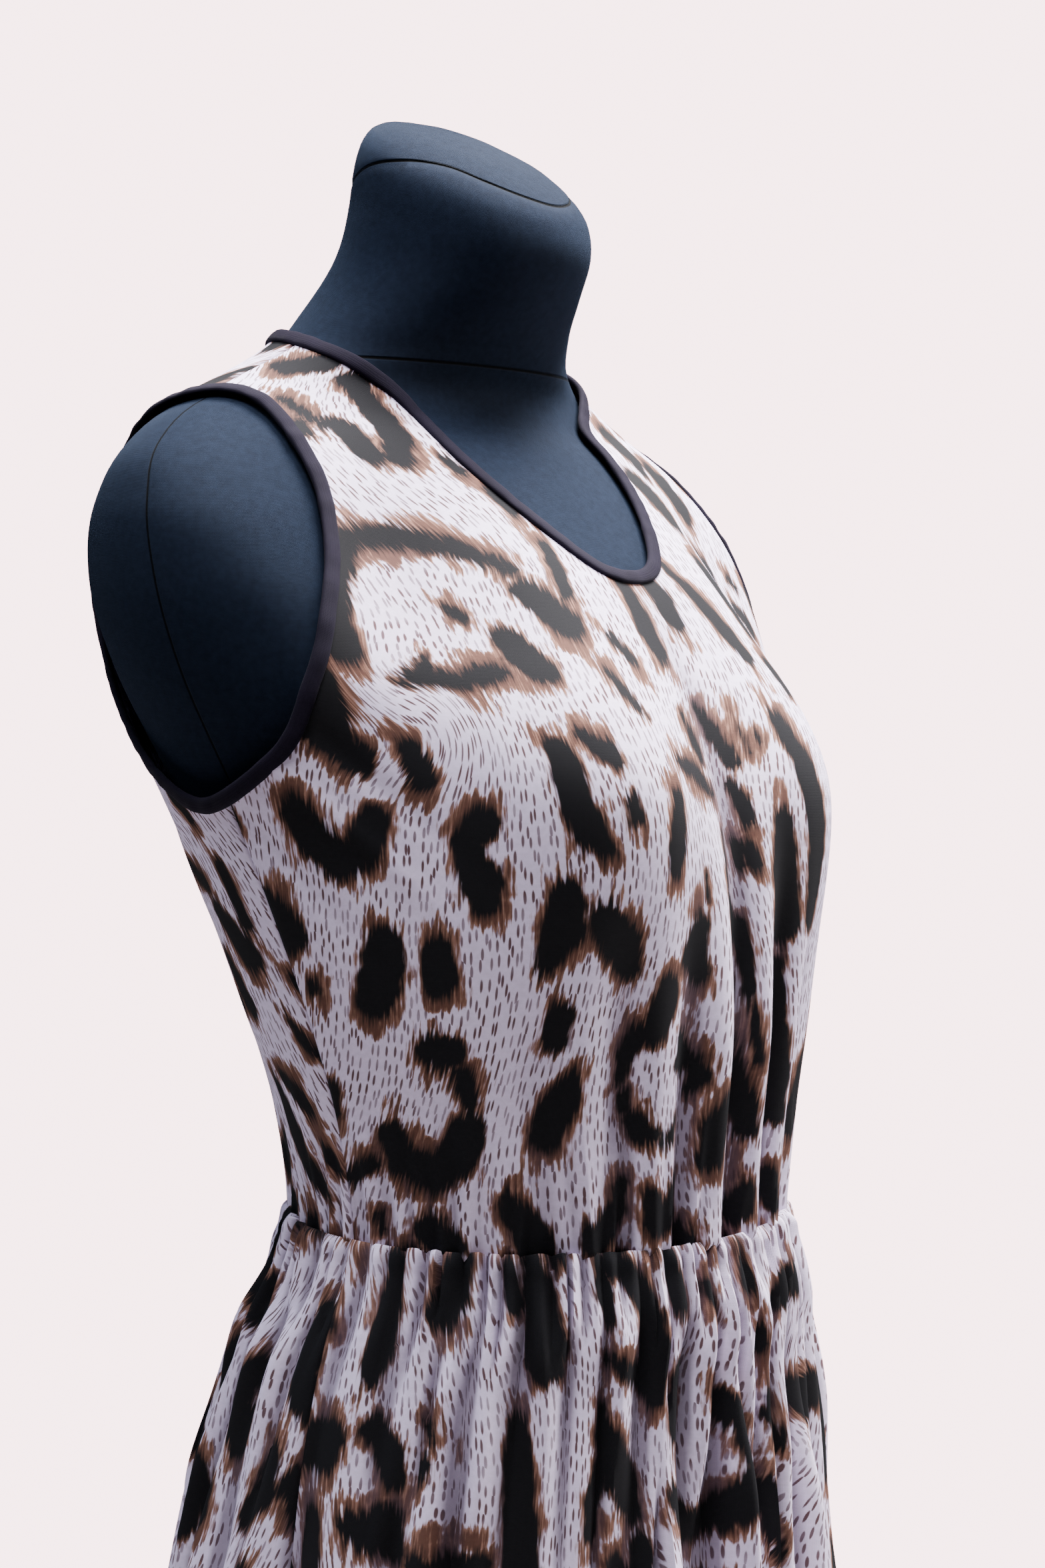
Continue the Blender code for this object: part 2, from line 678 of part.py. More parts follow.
def main():
    clear_scene()
    stand()
    form_body()
    form_neck_cap()
    bodice_panel("bodice_front", 0)
    bodice_panel("bodice_back", 180)
    binding("neck_binding", neck_places(), 1)
    binding("armhole_binding_left", armhole_places(), 1)
    binding("armhole_binding_right", armhole_places(), -1)
    skirt_panel("skirt_front", 0)
    skirt_panel("skirt_back", 180)


main()
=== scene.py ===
import math

import bmesh
import bpy
import numpy as np
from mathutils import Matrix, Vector


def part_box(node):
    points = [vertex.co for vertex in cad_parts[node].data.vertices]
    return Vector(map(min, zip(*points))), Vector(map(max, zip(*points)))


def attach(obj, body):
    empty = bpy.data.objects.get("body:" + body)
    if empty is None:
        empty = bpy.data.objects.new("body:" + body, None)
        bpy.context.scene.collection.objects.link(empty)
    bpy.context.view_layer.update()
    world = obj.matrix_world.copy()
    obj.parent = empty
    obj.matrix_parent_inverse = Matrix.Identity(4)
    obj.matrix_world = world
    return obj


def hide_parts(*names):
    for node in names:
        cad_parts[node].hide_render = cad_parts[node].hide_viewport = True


# Printed jersey sundress on a dress form. Metres, +Z up; the figure faces -Y.
# A place on the figure is a turn, in degrees from the centre front round its left side (90)
# to the centre back (180), and a height above the waist seam.

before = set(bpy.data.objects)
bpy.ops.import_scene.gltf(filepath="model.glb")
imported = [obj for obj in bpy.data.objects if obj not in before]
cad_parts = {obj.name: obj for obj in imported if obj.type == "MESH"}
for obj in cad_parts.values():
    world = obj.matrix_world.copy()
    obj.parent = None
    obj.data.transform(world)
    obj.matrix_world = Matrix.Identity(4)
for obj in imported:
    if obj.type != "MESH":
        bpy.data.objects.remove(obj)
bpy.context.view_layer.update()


figure = {
    "waist": 1.04,
    "frontShare": 1.6,  # how soon the front's swells fade towards the sides
    "sections": (  # height, half width, front, behind, centre, slope
        (-0.270, 0.150, 0.098, 0.116, 0.004, 0.00),
        (-0.200, 0.165, 0.104, 0.124, 0.004, 0.00),
        (-0.120, 0.160, 0.104, 0.118, 0.002, 0.02),
        (-0.050, 0.140, 0.104, 0.103, 0.000, 0.05),
        (0.000, 0.128, 0.103, 0.093, -0.001, 0.05),
        (0.050, 0.134, 0.107, 0.096, 0.001, 0.05),
        (0.100, 0.148, 0.115, 0.107, 0.006, 0.03),
        (0.150, 0.162, 0.119, 0.112, 0.016, 0.01),
        (0.190, 0.175, 0.123, 0.118, 0.026, 0.00),
        (0.225, 0.190, 0.126, 0.127, 0.035, 0.00),
        (0.270, 0.207, 0.124, 0.139, 0.045, 0.00),
        (0.310, 0.213, 0.114, 0.142, 0.054, 0.00),
        (0.345, 0.207, 0.094, 0.126, 0.064, 0.00),
        (0.372, 0.188, 0.076, 0.098, 0.075, 0.00),
        (0.390, 0.161, 0.062, 0.080, 0.081, 0.00),
        (0.405, 0.128, 0.056, 0.067, 0.080, 0.01),
        (0.420, 0.099, 0.056, 0.060, 0.073, 0.05),
        (0.440, 0.079, 0.056, 0.062, 0.061, 0.12),
        (0.462, 0.066, 0.057, 0.061, 0.048, 0.21),
        (0.487, 0.062, 0.060, 0.060, 0.041, 0.28),
        (0.500, 0.0616, 0.0594, 0.0570, 0.041, 0.33),
        (0.510, 0.0596, 0.0574, 0.0530, 0.042, 0.37),
        (0.518, 0.0552, 0.0520, 0.0492, 0.043, 0.40),
        (0.525, 0.0475, 0.0430, 0.0435, 0.044, 0.42),
        (0.530, 0.037, 0.033, 0.0335, 0.045, 0.43),
        (0.534, 0.018, 0.015, 0.0165, 0.046, 0.43),
    ),
    "swells": (  # across, height, out, wide, tall
        (0.078, 0.215, 0.029, 0.064, 0.060),
        (0.074, 0.150, 0.007, 0.064, 0.045),
        (0.145, 0.315, -0.024, 0.055, 0.060),
        (0.000, 0.325, -0.006, 0.060, 0.050),
    ),
}


def smoothRows(rows, places):
    # the columns after the first, read from a smooth curve through the rows
    table = np.array(rows, float)
    at, values = table[:, 0], table[:, 1:]
    places = np.clip(places, at[0], at[-1])
    slopes = np.gradient(values, at, axis=0)
    row = np.clip(np.searchsorted(at, places) - 1, 0, len(at) - 2)
    step = (at[row + 1] - at[row])[..., None]
    t = (places - at[row])[..., None] / step
    leaving = (1 + 2 * t) * values[row] + t * step * slopes[row]
    arriving = (3 - 2 * t) * values[row + 1] - (1 - t) * step * slopes[row + 1]
    return (1 - t) ** 2 * leaving + t**2 * arriving


def ringPoint(sections, turn, height, ease=0.0):
    turn, height, ease = np.broadcast_arrays(np.radians(turn), height, ease)
    halfWidth, front, behind, centre, slope = np.moveaxis(smoothRows(sections, height), -1, 0)
    side, ahead = np.sin(turn), np.cos(turn)
    depth = np.where(ahead > 0, front, behind) + ease
    reach = 1 / np.hypot(side / (halfWidth + ease), ahead / depth)
    x, y = reach * side, -reach * ahead
    return np.stack([x, y + centre, figure["waist"] + height + slope * y], axis=-1)


def figurePoint(turn, height, ease=0.0):
    point = ringPoint(figure["sections"], turn, height, ease)
    facing = np.clip(figure["frontShare"] * np.cos(np.radians(turn)), 0, 1)
    for across, level, out, wide, tall in figure["swells"]:
        away = ((np.abs(point[..., 0]) - across) / wide) ** 2 + ((height - level) / tall) ** 2
        point[..., 1] -= out * facing * np.exp(-away)
    return point


def outward(surface, turn, height):
    # the surface's normal, from a small step round it and a small step up it
    roundIt = surface(turn + 0.05, height) - surface(turn - 0.05, height)
    upIt = surface(turn, height + 0.0002) - surface(turn, height - 0.0002)
    normal = np.cross(roundIt, upIt)
    return normal / np.linalg.norm(normal, axis=-1, keepdims=True)


def bell(away, spread):
    return np.exp(-((away / spread) ** 2))


def fade(value, start, end):
    # 0 at start, 1 at end, soft at both
    t = np.clip((value - start) / (end - start), 0, 1)
    return t * t * (3 - 2 * t)


def wrapTo(value, period):
    return (value + period / 2) % period - period / 2


def wrapTurn(angle):
    return wrapTo(angle, 360)


def gridMesh(points, uv=None, fields=None, drop=None):
    # a grid whose rows and columns take the given points; drop marks the faces to leave out
    rows, columns = points.shape[:2]
    mesh = bmesh.new()
    bmesh.ops.create_grid(mesh, x_segments=columns - 1, y_segments=rows - 1, size=1)
    mesh.verts.ensure_lookup_table()
    for vert, place in zip(mesh.verts, points.reshape(-1, 3)):
        vert.co = place
    for field, values in (fields or {}).items():
        layer = mesh.verts.layers.float_vector.new(field)
        for vert, value in zip(mesh.verts, values.reshape(-1, 3)):
            vert[layer] = value
    if uv is not None:
        layer = mesh.loops.layers.uv.new("cloth")
        flat = uv.reshape(-1, 2)
        for face in mesh.faces:
            for loop in face.loops:
                loop[layer].uv = flat[loop.vert.index]
    if drop is not None:
        mesh.faces.ensure_lookup_table()
        gone = [mesh.faces[i] for i in np.flatnonzero(drop.reshape(-1))]
        bmesh.ops.delete(mesh, geom=gone, context="FACES")
    return mesh


def finish(name, node, mesh, material, sharp=60, thickness=0):
    # the piece's object, with a cloth's thickness if it has one, hung on the root, with the CAD
    # part it takes the place of hidden
    for face in mesh.faces:
        face.smooth = True
    data = bpy.data.meshes.new(name)
    mesh.to_mesh(data)
    mesh.free()
    data.set_sharp_from_angle(angle=math.radians(sharp))
    data.materials.append(material)
    piece = bpy.data.objects.new(name, data)
    bpy.context.scene.collection.objects.link(piece)
    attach(piece, "root")
    if thickness:
        wall = piece.modifiers.new("cloth thickness", "SOLIDIFY")
        wall.thickness = thickness
        wall.offset = -1
        wall.use_even_offset = False
    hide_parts(node)
    return piece


def newMaterial(name, roughness, settings=None):
    material = bpy.data.materials.new(name)
    material.use_nodes = True
    shader = material.node_tree.nodes["Principled BSDF"]
    shader.inputs["Roughness"].default_value = roughness
    for socket, value in (settings or {}).items():
        shader.inputs[socket].default_value = value
    return material, material.node_tree, shader


def plug(tree, socket, value):
    if isinstance(value, bpy.types.NodeSocket):
        tree.links.new(value, socket)
    else:
        socket.default_value = value


def calc(tree, operation, first, second=0.0, third=None):
    node = tree.nodes.new("ShaderNodeMath")
    node.operation = operation
    plug(tree, node.inputs[0], first)
    plug(tree, node.inputs[1], second)
    if third is not None:
        plug(tree, node.inputs[2], third)
    return node.outputs[0]


def ramp(tree, value, low, high, toLow=0.0, toHigh=1.0):
    # a soft step from toLow at low to toHigh at high
    node = tree.nodes.new("ShaderNodeMapRange")
    node.interpolation_type = "SMOOTHSTEP"
    for socket, number in zip(node.inputs, (value, low, high, toLow, toHigh)):
        plug(tree, socket, number)
    return node.outputs[0]


def blend(tree, share, first, second):
    node = tree.nodes.new("ShaderNodeMix")
    node.data_type = "RGBA"
    plug(tree, node.inputs["Factor"], share)
    plug(tree, node.inputs["A"], first)
    plug(tree, node.inputs["B"], second)
    return node.outputs["Result"]


def attribute(tree, name):
    node = tree.nodes.new("ShaderNodeAttribute")
    node.attribute_name = name
    return node.outputs["Vector"]


def parts(tree, vector):
    node = tree.nodes.new("ShaderNodeSeparateXYZ")
    plug(tree, node.inputs[0], vector)
    return node.outputs


def scaled(tree, vector, scale, location=(0, 0, 0)):
    node = tree.nodes.new("ShaderNodeMapping")
    plug(tree, node.inputs["Vector"], vector)
    node.inputs["Scale"].default_value = scale
    node.inputs["Location"].default_value = location
    return node.outputs[0]


def noise(tree, vector, scale=1.0, detail=2.0):
    node = tree.nodes.new("ShaderNodeTexNoise")
    plug(tree, node.inputs["Vector"], vector)
    node.inputs["Scale"].default_value = scale
    node.inputs["Detail"].default_value = detail
    return node.outputs[0]


def paint(tree, shader, colour, height, relief):
    # the colour and the bump of a surface; relief is the bump's distance and strength
    tree.links.new(colour, shader.inputs["Base Color"])
    node = tree.nodes.new("ShaderNodeBump")
    node.inputs["Distance"].default_value, node.inputs["Strength"].default_value = relief
    plug(tree, node.inputs["Height"], height)
    tree.links.new(node.outputs[0], shader.inputs["Normal"])


knitLook = {
    "loops": 0.3,  # how much of the height each row of loops gives, and each rib between them
    "ribs": 0.7,
    "patches": (420.0, 3.0),  # the cloudiness: scale and detail
    # painted shade: how much darker the stitches' low parts are painted
    "heightShade": 0.12,
}


def knitGroup():
    # rows of small V stitches: a height for bump, and a shade for colour that is random cloudiness
    # with painted shade in the stitches' low parts
    group = bpy.data.node_groups.new("knit", "ShaderNodeTree")
    for socket, way, kind in (
        ("Vector", "INPUT", "Vector"), ("Stitch", "INPUT", "Float"),
        ("Height", "OUTPUT", "Float"), ("Shade", "OUTPUT", "Float"),
    ):
        group.interface.new_socket(socket, in_out=way, socket_type="NodeSocket" + kind)
    inside = group.nodes.new("NodeGroupInput")
    outside = group.nodes.new("NodeGroupOutput")
    across, up, _ = parts(group, inside.outputs["Vector"])
    wale = calc(group, "DIVIDE", across, inside.outputs["Stitch"])
    course = calc(group, "DIVIDE", up, inside.outputs["Stitch"])
    leg = calc(group, "PINGPONG", wale, 0.5)
    slant = calc(group, "ADD", course, leg)
    loops = calc(group, "SINE", calc(group, "MULTIPLY", slant, 2 * math.pi))
    ribs = calc(group, "SINE", calc(group, "MULTIPLY", leg, 2 * math.pi))
    ribs = calc(group, "MULTIPLY", ribs, knitLook["ribs"])
    height = calc(group, "MULTIPLY_ADD", loops, knitLook["loops"], ribs)
    patches = noise(group, inside.outputs["Vector"], *knitLook["patches"])
    shade = calc(group, "MULTIPLY_ADD", height, knitLook["heightShade"], patches)
    group.links.new(height, outside.inputs["Height"])
    group.links.new(shade, outside.inputs["Shade"])
    return group


def knit(tree, stitch):
    # the knit, laid out on the mesh's own UV map
    node = tree.nodes.new("ShaderNodeGroup")
    node.node_tree = bpy.data.node_groups.get("knit") or knitGroup()
    plug(tree, node.inputs["Vector"], tree.nodes.new("ShaderNodeUVMap").outputs[0])
    node.inputs["Stitch"].default_value = stitch
    return node.outputs


printChart = {
    "repeat": (0.50, 0.72),  # the design's width and length before it comes again
    # dark marks as brush strokes, in millimetres: across, up and half width at each step
    "marks": (
        # shoulder and neck
        ((-125, 478, 10), (-110, 480, 11)),
        ((-97, 460, 8), (-91, 438, 9), (-92, 422, 8), (-100, 404, 6)),
        ((-118, 418, 8), (-115, 403, 8)), ((-137, 440, 4), (-127, 416, 4)),
        ((-141, 419, 4), (-140, 410, 4)), ((-73, 411, 4), (-71, 404, 4)),
        ((-62, 391, 4), (-57, 376, 3)), ((-162, 398, 5), (-158, 386, 6)),
        # the large rosette under the shoulder
        ((-154, 350, 6), (-128, 356, 7), (-104, 353, 7), (-84, 342, 6)),
        ((-124, 316, 4), (-122, 312, 4)),
        ((-158, 347, 6), (-175, 326, 9), (-185, 306, 9), (-186, 288, 8)),
        ((-80, 327, 9), (-70, 309, 11)), ((-105, 298, 9), (-101, 283, 10)),
        ((-168, 272, 4), (-155, 276, 6), (-142, 274, 6), (-128, 277, 6), (-119, 280, 5)),
        ((-152, 276, 4), (-151, 286, 2)),
        # narrow streaks over the chest
        ((-53, 355, 4), (-58, 325, 5)),
        ((-16, 334, 3), (-10, 320, 5), (-12, 302, 8), (-12, 286, 7)),
        ((-46, 299, 3), (-40, 282, 4)), ((-64, 278, 3), (-60, 264, 4), (-56, 254, 2)),
        ((9, 333, 7), (15, 317, 8), (15, 303, 6)),
        ((34, 346, 2), (46, 322, 6), (54, 304, 8), (59, 288, 6)),
        # over the left shoulder
        ((100, 436, 7), (106, 424, 11), (110, 412, 9)),
        ((80, 408, 8), (87, 396, 12), (95, 382, 12), (98, 374, 7)),
        ((128, 404, 7), (138, 390, 11), (144, 378, 10)),
        ((84, 350, 7), (90, 338, 12), (93, 326, 12), (92, 308, 8)), ((120, 354, 6), (134, 342, 9)),
        ((152, 318, 6), (164, 304, 8)), ((84, 286, 6), (86, 270, 6)),
        ((-18, 253, 3), (-12, 232, 4)), ((2, 256, 3), (8, 242, 6), (15, 229, 5)),
        ((24, 253, 1), (27, 233, 2)), ((34, 249, 1), (36, 238, 2)),
        ((54, 250, 6), (61, 229, 8), (64, 208, 9), (65, 186, 9), (62, 152, 8)),
        # beside the armhole
        ((-206, 274, 9), (-209, 259, 11), (-214, 248, 11), (-205, 236, 9)),
        ((-179, 239, 6), (-178, 226, 7)),
        ((-237, 212, 8), (-229, 198, 9), (-216, 186, 9), (-206, 192, 9), (-203, 205, 8)),
        ((-262, 170, 8), (-249, 161, 10), (-237, 150, 8)), ((-225, 128, 3), (-223, 124, 4)),
        # the middle of the bodice
        ((-113, 240, 6), (-112, 224, 8), (-110, 210, 8), (-104, 199, 8), (-96, 192, 5)),
        ((-97, 246, 4), (-91, 239, 7), (-87, 232, 5)), ((-84, 213, 4), (-81, 205, 4)),
        ((-152, 205, 8), (-160, 196, 8), (-158, 186, 7), (-151, 176, 10), (-149, 168, 7)),
        ((-53, 214, 4), (-54, 198, 7), (-56, 181, 5)),
        ((-42, 230, 4), (-25, 224, 6), (-10, 213, 4)), ((10, 218, 3), (15, 208, 5), (17, 199, 4)),
        ((6, 190, 3), (9, 178, 3)), ((14, 188, 3), (18, 178, 4)),
        ((-4, 196, 1), (-3, 165, 4), (1, 146, 4)), ((40, 200, 6), (39, 175, 9), (40, 148, 9)),
        ((-113, 173, 7), (-112, 155, 11), (-117, 140, 6)),
        ((-93, 161, 8), (-83, 148, 10), (-76, 136, 7)),
        ((-193, 149, 8), (-191, 136, 11), (-192, 121, 9)), ((-168, 146, 7), (-164, 131, 8)),
        ((-28, 178, 1), (-27, 165, 1)), ((-32, 152, 7), (-36, 140, 9), (-31, 130, 6)),
        ((6, 152, 4), (9, 138, 4), (11, 118, 2), (13, 100, 2), (14, 85, 2)),
        ((0, 134, 3), (0, 122, 5), (1, 108, 3), (4, 88, 4), (9, 68, 6), (11, 52, 5)),
        ((36, 128, 7), (37, 100, 8), (41, 75, 7), (42, 55, 5)),
        # down to the waist
        ((-53, 128, 6), (-57, 114, 8), (-61, 104, 6)), ((-68, 106, 4), (-72, 95, 5), (-74, 82, 3)),
        ((-71, 76, 3), (-69, 68, 3)), ((-65, 64, 5), (-59, 56, 6)), ((-40, 101, 4), (-38, 90, 8)),
        ((-30, 89, 4), (-27, 82, 5), (-31, 75, 3)), ((-49, 53, 4), (-44, 55, 4), (-40, 64, 2)),
        ((-108, 116, 6), (-110, 103, 6)), ((-100, 86, 4), (-104, 72, 9), (-109, 57, 8)),
        ((-164, 99, 8), (-157, 97, 9)), ((-150, 88, 5), (-144, 73, 4)),
        ((-213, 75, 6), (-211, 64, 6)),
        ((-178, 55, 7), (-170, 43, 9), (-157, 38, 9), (-146, 46, 9), (-144, 62, 8)),
        ((-10, 68, 6), (-16, 56, 9), (-20, 42, 7)), ((-186, 40, 5), (-198, 32, 5)),
        ((-123, 28, 4), (-113, 16, 8), (-107, 3, 9)), ((-181, 16, 2), (-179, 9, 2)),
        ((-155, 11, 8), (-148, 4, 9)), ((-68, 33, 4), (-70, 20, 7), (-80, 6, 7), (-85, 15, 3)),
        ((-54, 29, 4), (-49, 15, 8)), ((-38, 33, 4), (-41, 17, 8)), ((-32, 9, 4), (-28, 3, 5)),
        ((12, 25, 4), (9, 13, 7)), ((38, 26, 5), (44, 10, 7)),
        # under the waist seam
        ((-242, -4, 5), (-245, -20, 6), (-250, -40, 7), (-255, -56, 5)),
        ((-203, -2, 7), (-208, -14, 9), (-216, -25, 8)), ((-284, -28, 3), (-284, -37, 3)),
        ((-290, -48, 4), (-294, -60, 3)), ((-176, -4, 4), (-175, -22, 3)),
        ((-163, -3, 7), (-160, -20, 11), (-158, -38, 13), (-157, -48, 9)),
        ((-119, -3, 5), (-118, -16, 6), (-117, -28, 4)),
        (
            (-118, -4, 6), (-104, -5, 6), (-93, -14, 8), (-87, -30, 9), (-85, -45, 9),
            (-86, -58, 9), (-84, -68, 5),
        ),
        ((-116, -46, 3), (-105, -53, 6), (-93, -57, 8)),
        ((-65, -4, 5), (-64, -12, 7), (-61, -24, 6)), ((-36, -16, 3), (-32, -26, 5), (-27, -37, 3)),
        ((6, -7, 6), (8, -20, 7)), ((22, -46, 5), (24, -53, 5)),
        ((46, -32, 7), (62, -28, 10), (85, -28, 9)),
        # down the skirt
        ((-176, -76, 7), (-176, -95, 10), (-175, -120, 11), (-175, -150, 11)),
        ((-296, -93, 10), (-284, -90, 13), (-275, -84, 9)),
        ((-252, -79, 8), (-245, -88, 10), (-241, -99, 7)), ((-222, -75, 3), (-221, -80, 3)),
        ((-224, -91, 3), (-226, -97, 3)),
        ((-263, -122, 8), (-254, -127, 8), (-246, -121, 10), (-243, -132, 7)),
        ((-289, -124, 8), (-290, -150, 9), (-292, -170, 8)),
        ((-228, -137, 6), (-213, -144, 10), (-199, -136, 6)),
        ((-122, -70, 4), (-121, -82, 8), (-115, -96, 10), (-106, -109, 11), (-101, -119, 8)),
        ((-126, -98, 6), (-131, -112, 6), (-133, -128, 5)),
        ((-64, -54, 6), (-66, -68, 8), (-69, -86, 6)),
        (
            (-38, -70, 4), (-24, -74, 8), (-10, -86, 8), (-5, -104, 9), (-10, -120, 9),
            (-25, -132, 8), (-43, -136, 8), (-60, -130, 9), (-71, -116, 8),
        ),
        ((34, -78, 6), (38, -88, 11), (44, -104, 9)),
        ((80, -84, 8), (100, -92, 12), (130, -94, 13)),
        ((24, -122, 6), (32, -140, 10), (40, -160, 11)), ((-96, -134, 6), (-99, -150, 9)),
        ((-118, -144, 7), (-113, -152, 8)),
    ),
    "browns": (  # places with fur that is brown only
        ((-125, 319, 6), (-121, 309, 6)), ((-96, 214, 2), (-95, 210, 2)),
        ((-150, 88, 7), (-143, 70, 6)), ((142, 372, 6), (140, 362, 5)),
        ((80, 354, 4), (84, 344, 6)), ((88, 304, 4), (90, 298, 4)), ((34, 350, 3), (42, 330, 4)),
        ((60, 284, 5), (64, 270, 3)), ((16, 300, 5), (18, 290, 3)), ((-10, 284, 6), (-6, 272, 4)),
        ((-58, 320, 4), (-52, 308, 3), (-46, 298, 3)), ((50, 268, 3), (54, 254, 5)),
        ((-38, 274, 2), (-35, 268, 2)), ((-52, 232, 2), (-52, 170, 4)),
        ((40, 214, 6), (40, 204, 7)), ((-34, 168, 6), (-36, 160, 7)),
        ((-33, 122, 4), (-33, 119, 4)), ((-96, 76, 5), (-110, 46, 5)), ((6, 184, 4), (16, 176, 5)),
        ((0, 112, 3), (6, 78, 5)), ((-69, 76, 5), (-58, 50, 6)), ((-30, 94, 5), (-31, 72, 3)),
        ((-22, 36, 5), (-22, 32, 4)), ((-265, -3, 6), (-268, -14, 5)),
        ((-205, -30, 6), (-215, -34, 5)), ((-174, -66, 7), (-174, -74, 7)),
        ((-222, -84, 3), (-222, -90, 3)), ((-208, -82, 3), (-208, -90, 3)),
        ((-288, -112, 6), (-288, -118, 7)), ((-268, -112, 5), (-262, -114, 5)),
        ((-227, -125, 6), (-198, -125, 7)), ((-124, -120, 5), (-123, -126, 5)),
        ((-67, -94, 6), (-67, -104, 6)), ((-8, -66, 2), (26, -118, 4)),
        ((-174, 8, 3), (-173, 3, 3)),
    ),
    "whorls": (  # where the fur turns: across, up, spread, degrees
        (-170, 262, 26, 62), (-205, 232, 30, -28), (100, -92, 30, 75), (-100, 380, 40, 18),
        (-20, 250, 60, -14), (160, 180, 45, 50), (150, -10, 50, -45), (20, -230, 50, 55),
        (-180, -260, 55, -50),
    ),
    "fillShapes": (  # marks dropped into the empty places
        ((0, 6, 7), (0, -6, 8)), ((0, 3, 4), (0, -4, 4)), ((-2, 18, 6), (0, 0, 8), (3, -18, 7)),
        ((5, 10, 8), (-3, 0, 7), (4, -11, 9)), ((-10, 14, 5), (-8, 0, 8), (4, -12, 8), (12, -5, 4)),
        ((-4, 24, 5), (8, 14, 8), (11, -2, 9), (2, -18, 8), (-12, -20, 5)),
        ((0, 16, 3), (0, 2, 8), (-1, -10, 9)), ((0, 34, 6), (2, 10, 9), (-2, -16, 9), (0, -34, 7)),
        ((0, 9, 4), (1, -9, 5)),
    ),
    # the empty places: left, right, low, high, and how often each is tried
    "fillIn": ((92, 236, 0, 500), (142, 198, -180, 0), (-300, 200, -216, -182)),
    "fillShares": (0.7, 0.15, 0.15),
    "fillTries": 500,
    "fillLean": 20,  # degrees
    "fillRoom": 0.0085,  # clear cloth kept round a dropped mark
    "seed": 11,
    "furWave": (0.004, 0.18, 1.5, 0.25),  # sideways: how far, how long, its sway, how wide
    "furDrift": (0.004, 0.125, 0.4, 1.0),  # lengthways: how far, how wide, its slant, its start
    "probe": 0.0004,  # the small step that shows how fast a value changes
}


def strokeDistance(x, y, stroke, furthest):
    # how far each point is outside the stroke, or less than 0 inside it
    stroke = np.array(stroke) / 1000
    middle = stroke[:, :2].mean(axis=0)
    reach = np.hypot(*(stroke[:, :2] - middle).T).max() + stroke[:, 2].max() + furthest
    dx = wrapTo(x - middle[0], printChart["repeat"][0])
    dy = wrapTo(y - middle[1], printChart["repeat"][1])
    near = np.hypot(dx, dy) < reach
    distance = np.full(np.shape(x), furthest)
    dx, dy = dx[near] + middle[0], dy[near] + middle[1]
    closest = np.full(dx.shape, furthest)
    for (x1, y1, r1), (x2, y2, r2) in zip(stroke, stroke[1:]):
        t = ((dx - x1) * (x2 - x1) + (dy - y1) * (y2 - y1)) / ((x2 - x1) ** 2 + (y2 - y1) ** 2)
        t = np.clip(t, 0, 1)
        away = np.hypot(dx - x1 - t * (x2 - x1), dy - y1 - t * (y2 - y1)) - r1 - t * (r2 - r1)
        closest = np.minimum(closest, away)
    distance[near] = closest
    return distance


def nearestMark(x, y, strokes, furthest=0.03):
    nearest = np.full(np.shape(x), furthest)
    for stroke in strokes:
        nearest = np.minimum(nearest, strokeDistance(x, y, stroke, furthest))
    return nearest


def fillMarks():
    # marks of the usual shapes dropped into the chart's empty places
    rng = np.random.default_rng(printChart["seed"])
    marks = list(printChart["marks"])
    for _ in range(printChart["fillTries"]):
        left, right, low, high = printChart["fillIn"][rng.choice(3, p=printChart["fillShares"])]
        shapes = printChart["fillShapes"]
        shape = np.array(shapes[rng.integers(len(shapes))], float)
        lean = np.radians(rng.normal(0, printChart["fillLean"]))
        x, y, half = shape.T
        x = x * rng.choice((1, -1))
        x, y = x * np.cos(lean) + y * np.sin(lean), y * np.cos(lean) - x * np.sin(lean)
        x = x + rng.uniform(left, right)
        y = y + rng.uniform(low, high)
        room = nearestMark(x / 1000, y / 1000, marks, 0.04) - half / 1000
        if room.min() > printChart["fillRoom"]:
            marks.append(tuple(zip(x, y, half)))
    printChart["allMarks"] = marks


def hairPlace(x, y):
    # the print's fur runs along the lines where the first of these stays the same
    out, tall, sway, wide = printChart["furWave"]
    across = x + out * np.sin(2 * np.pi * y / tall + sway * np.sin(2 * np.pi * x / wide))
    out, wide, slant, start = printChart["furDrift"]
    along = y + out * np.sin(2 * np.pi * (x + slant * y) / wide + start)
    for middleX, middleY, spread, degrees in printChart["whorls"]:
        dx = wrapTo(x - middleX / 1000, printChart["repeat"][0])
        dy = wrapTo(y - middleY / 1000, printChart["repeat"][1])
        angle = np.radians(degrees) * bell(np.hypot(dx, dy), spread / 1000)
        across += dx * (np.cos(angle) - 1) + dy * np.sin(angle)
        along += dy * (np.cos(angle) - 1) - dx * np.sin(angle)
    return across, along


def furrow(points, across, fullDepth):
    # per point: how far it lies in a furrow between the points so many columns to each side, which
    # sets the painted shade in the folds
    deep = np.zeros(points.shape[:2])
    away = points[..., :2] / np.linalg.norm(points[..., :2], axis=-1, keepdims=True)
    for reach in across:
        padded = np.pad(points[..., :2], ((0, 0), (reach, reach), (0, 0)), mode="edge")
        level = (padded[:, : -2 * reach] + padded[:, 2 * reach :]) / 2
        deep = np.maximum(deep, ((level - points[..., :2]) * away).sum(axis=-1))
    return np.clip(deep / fullDepth, 0, 1)


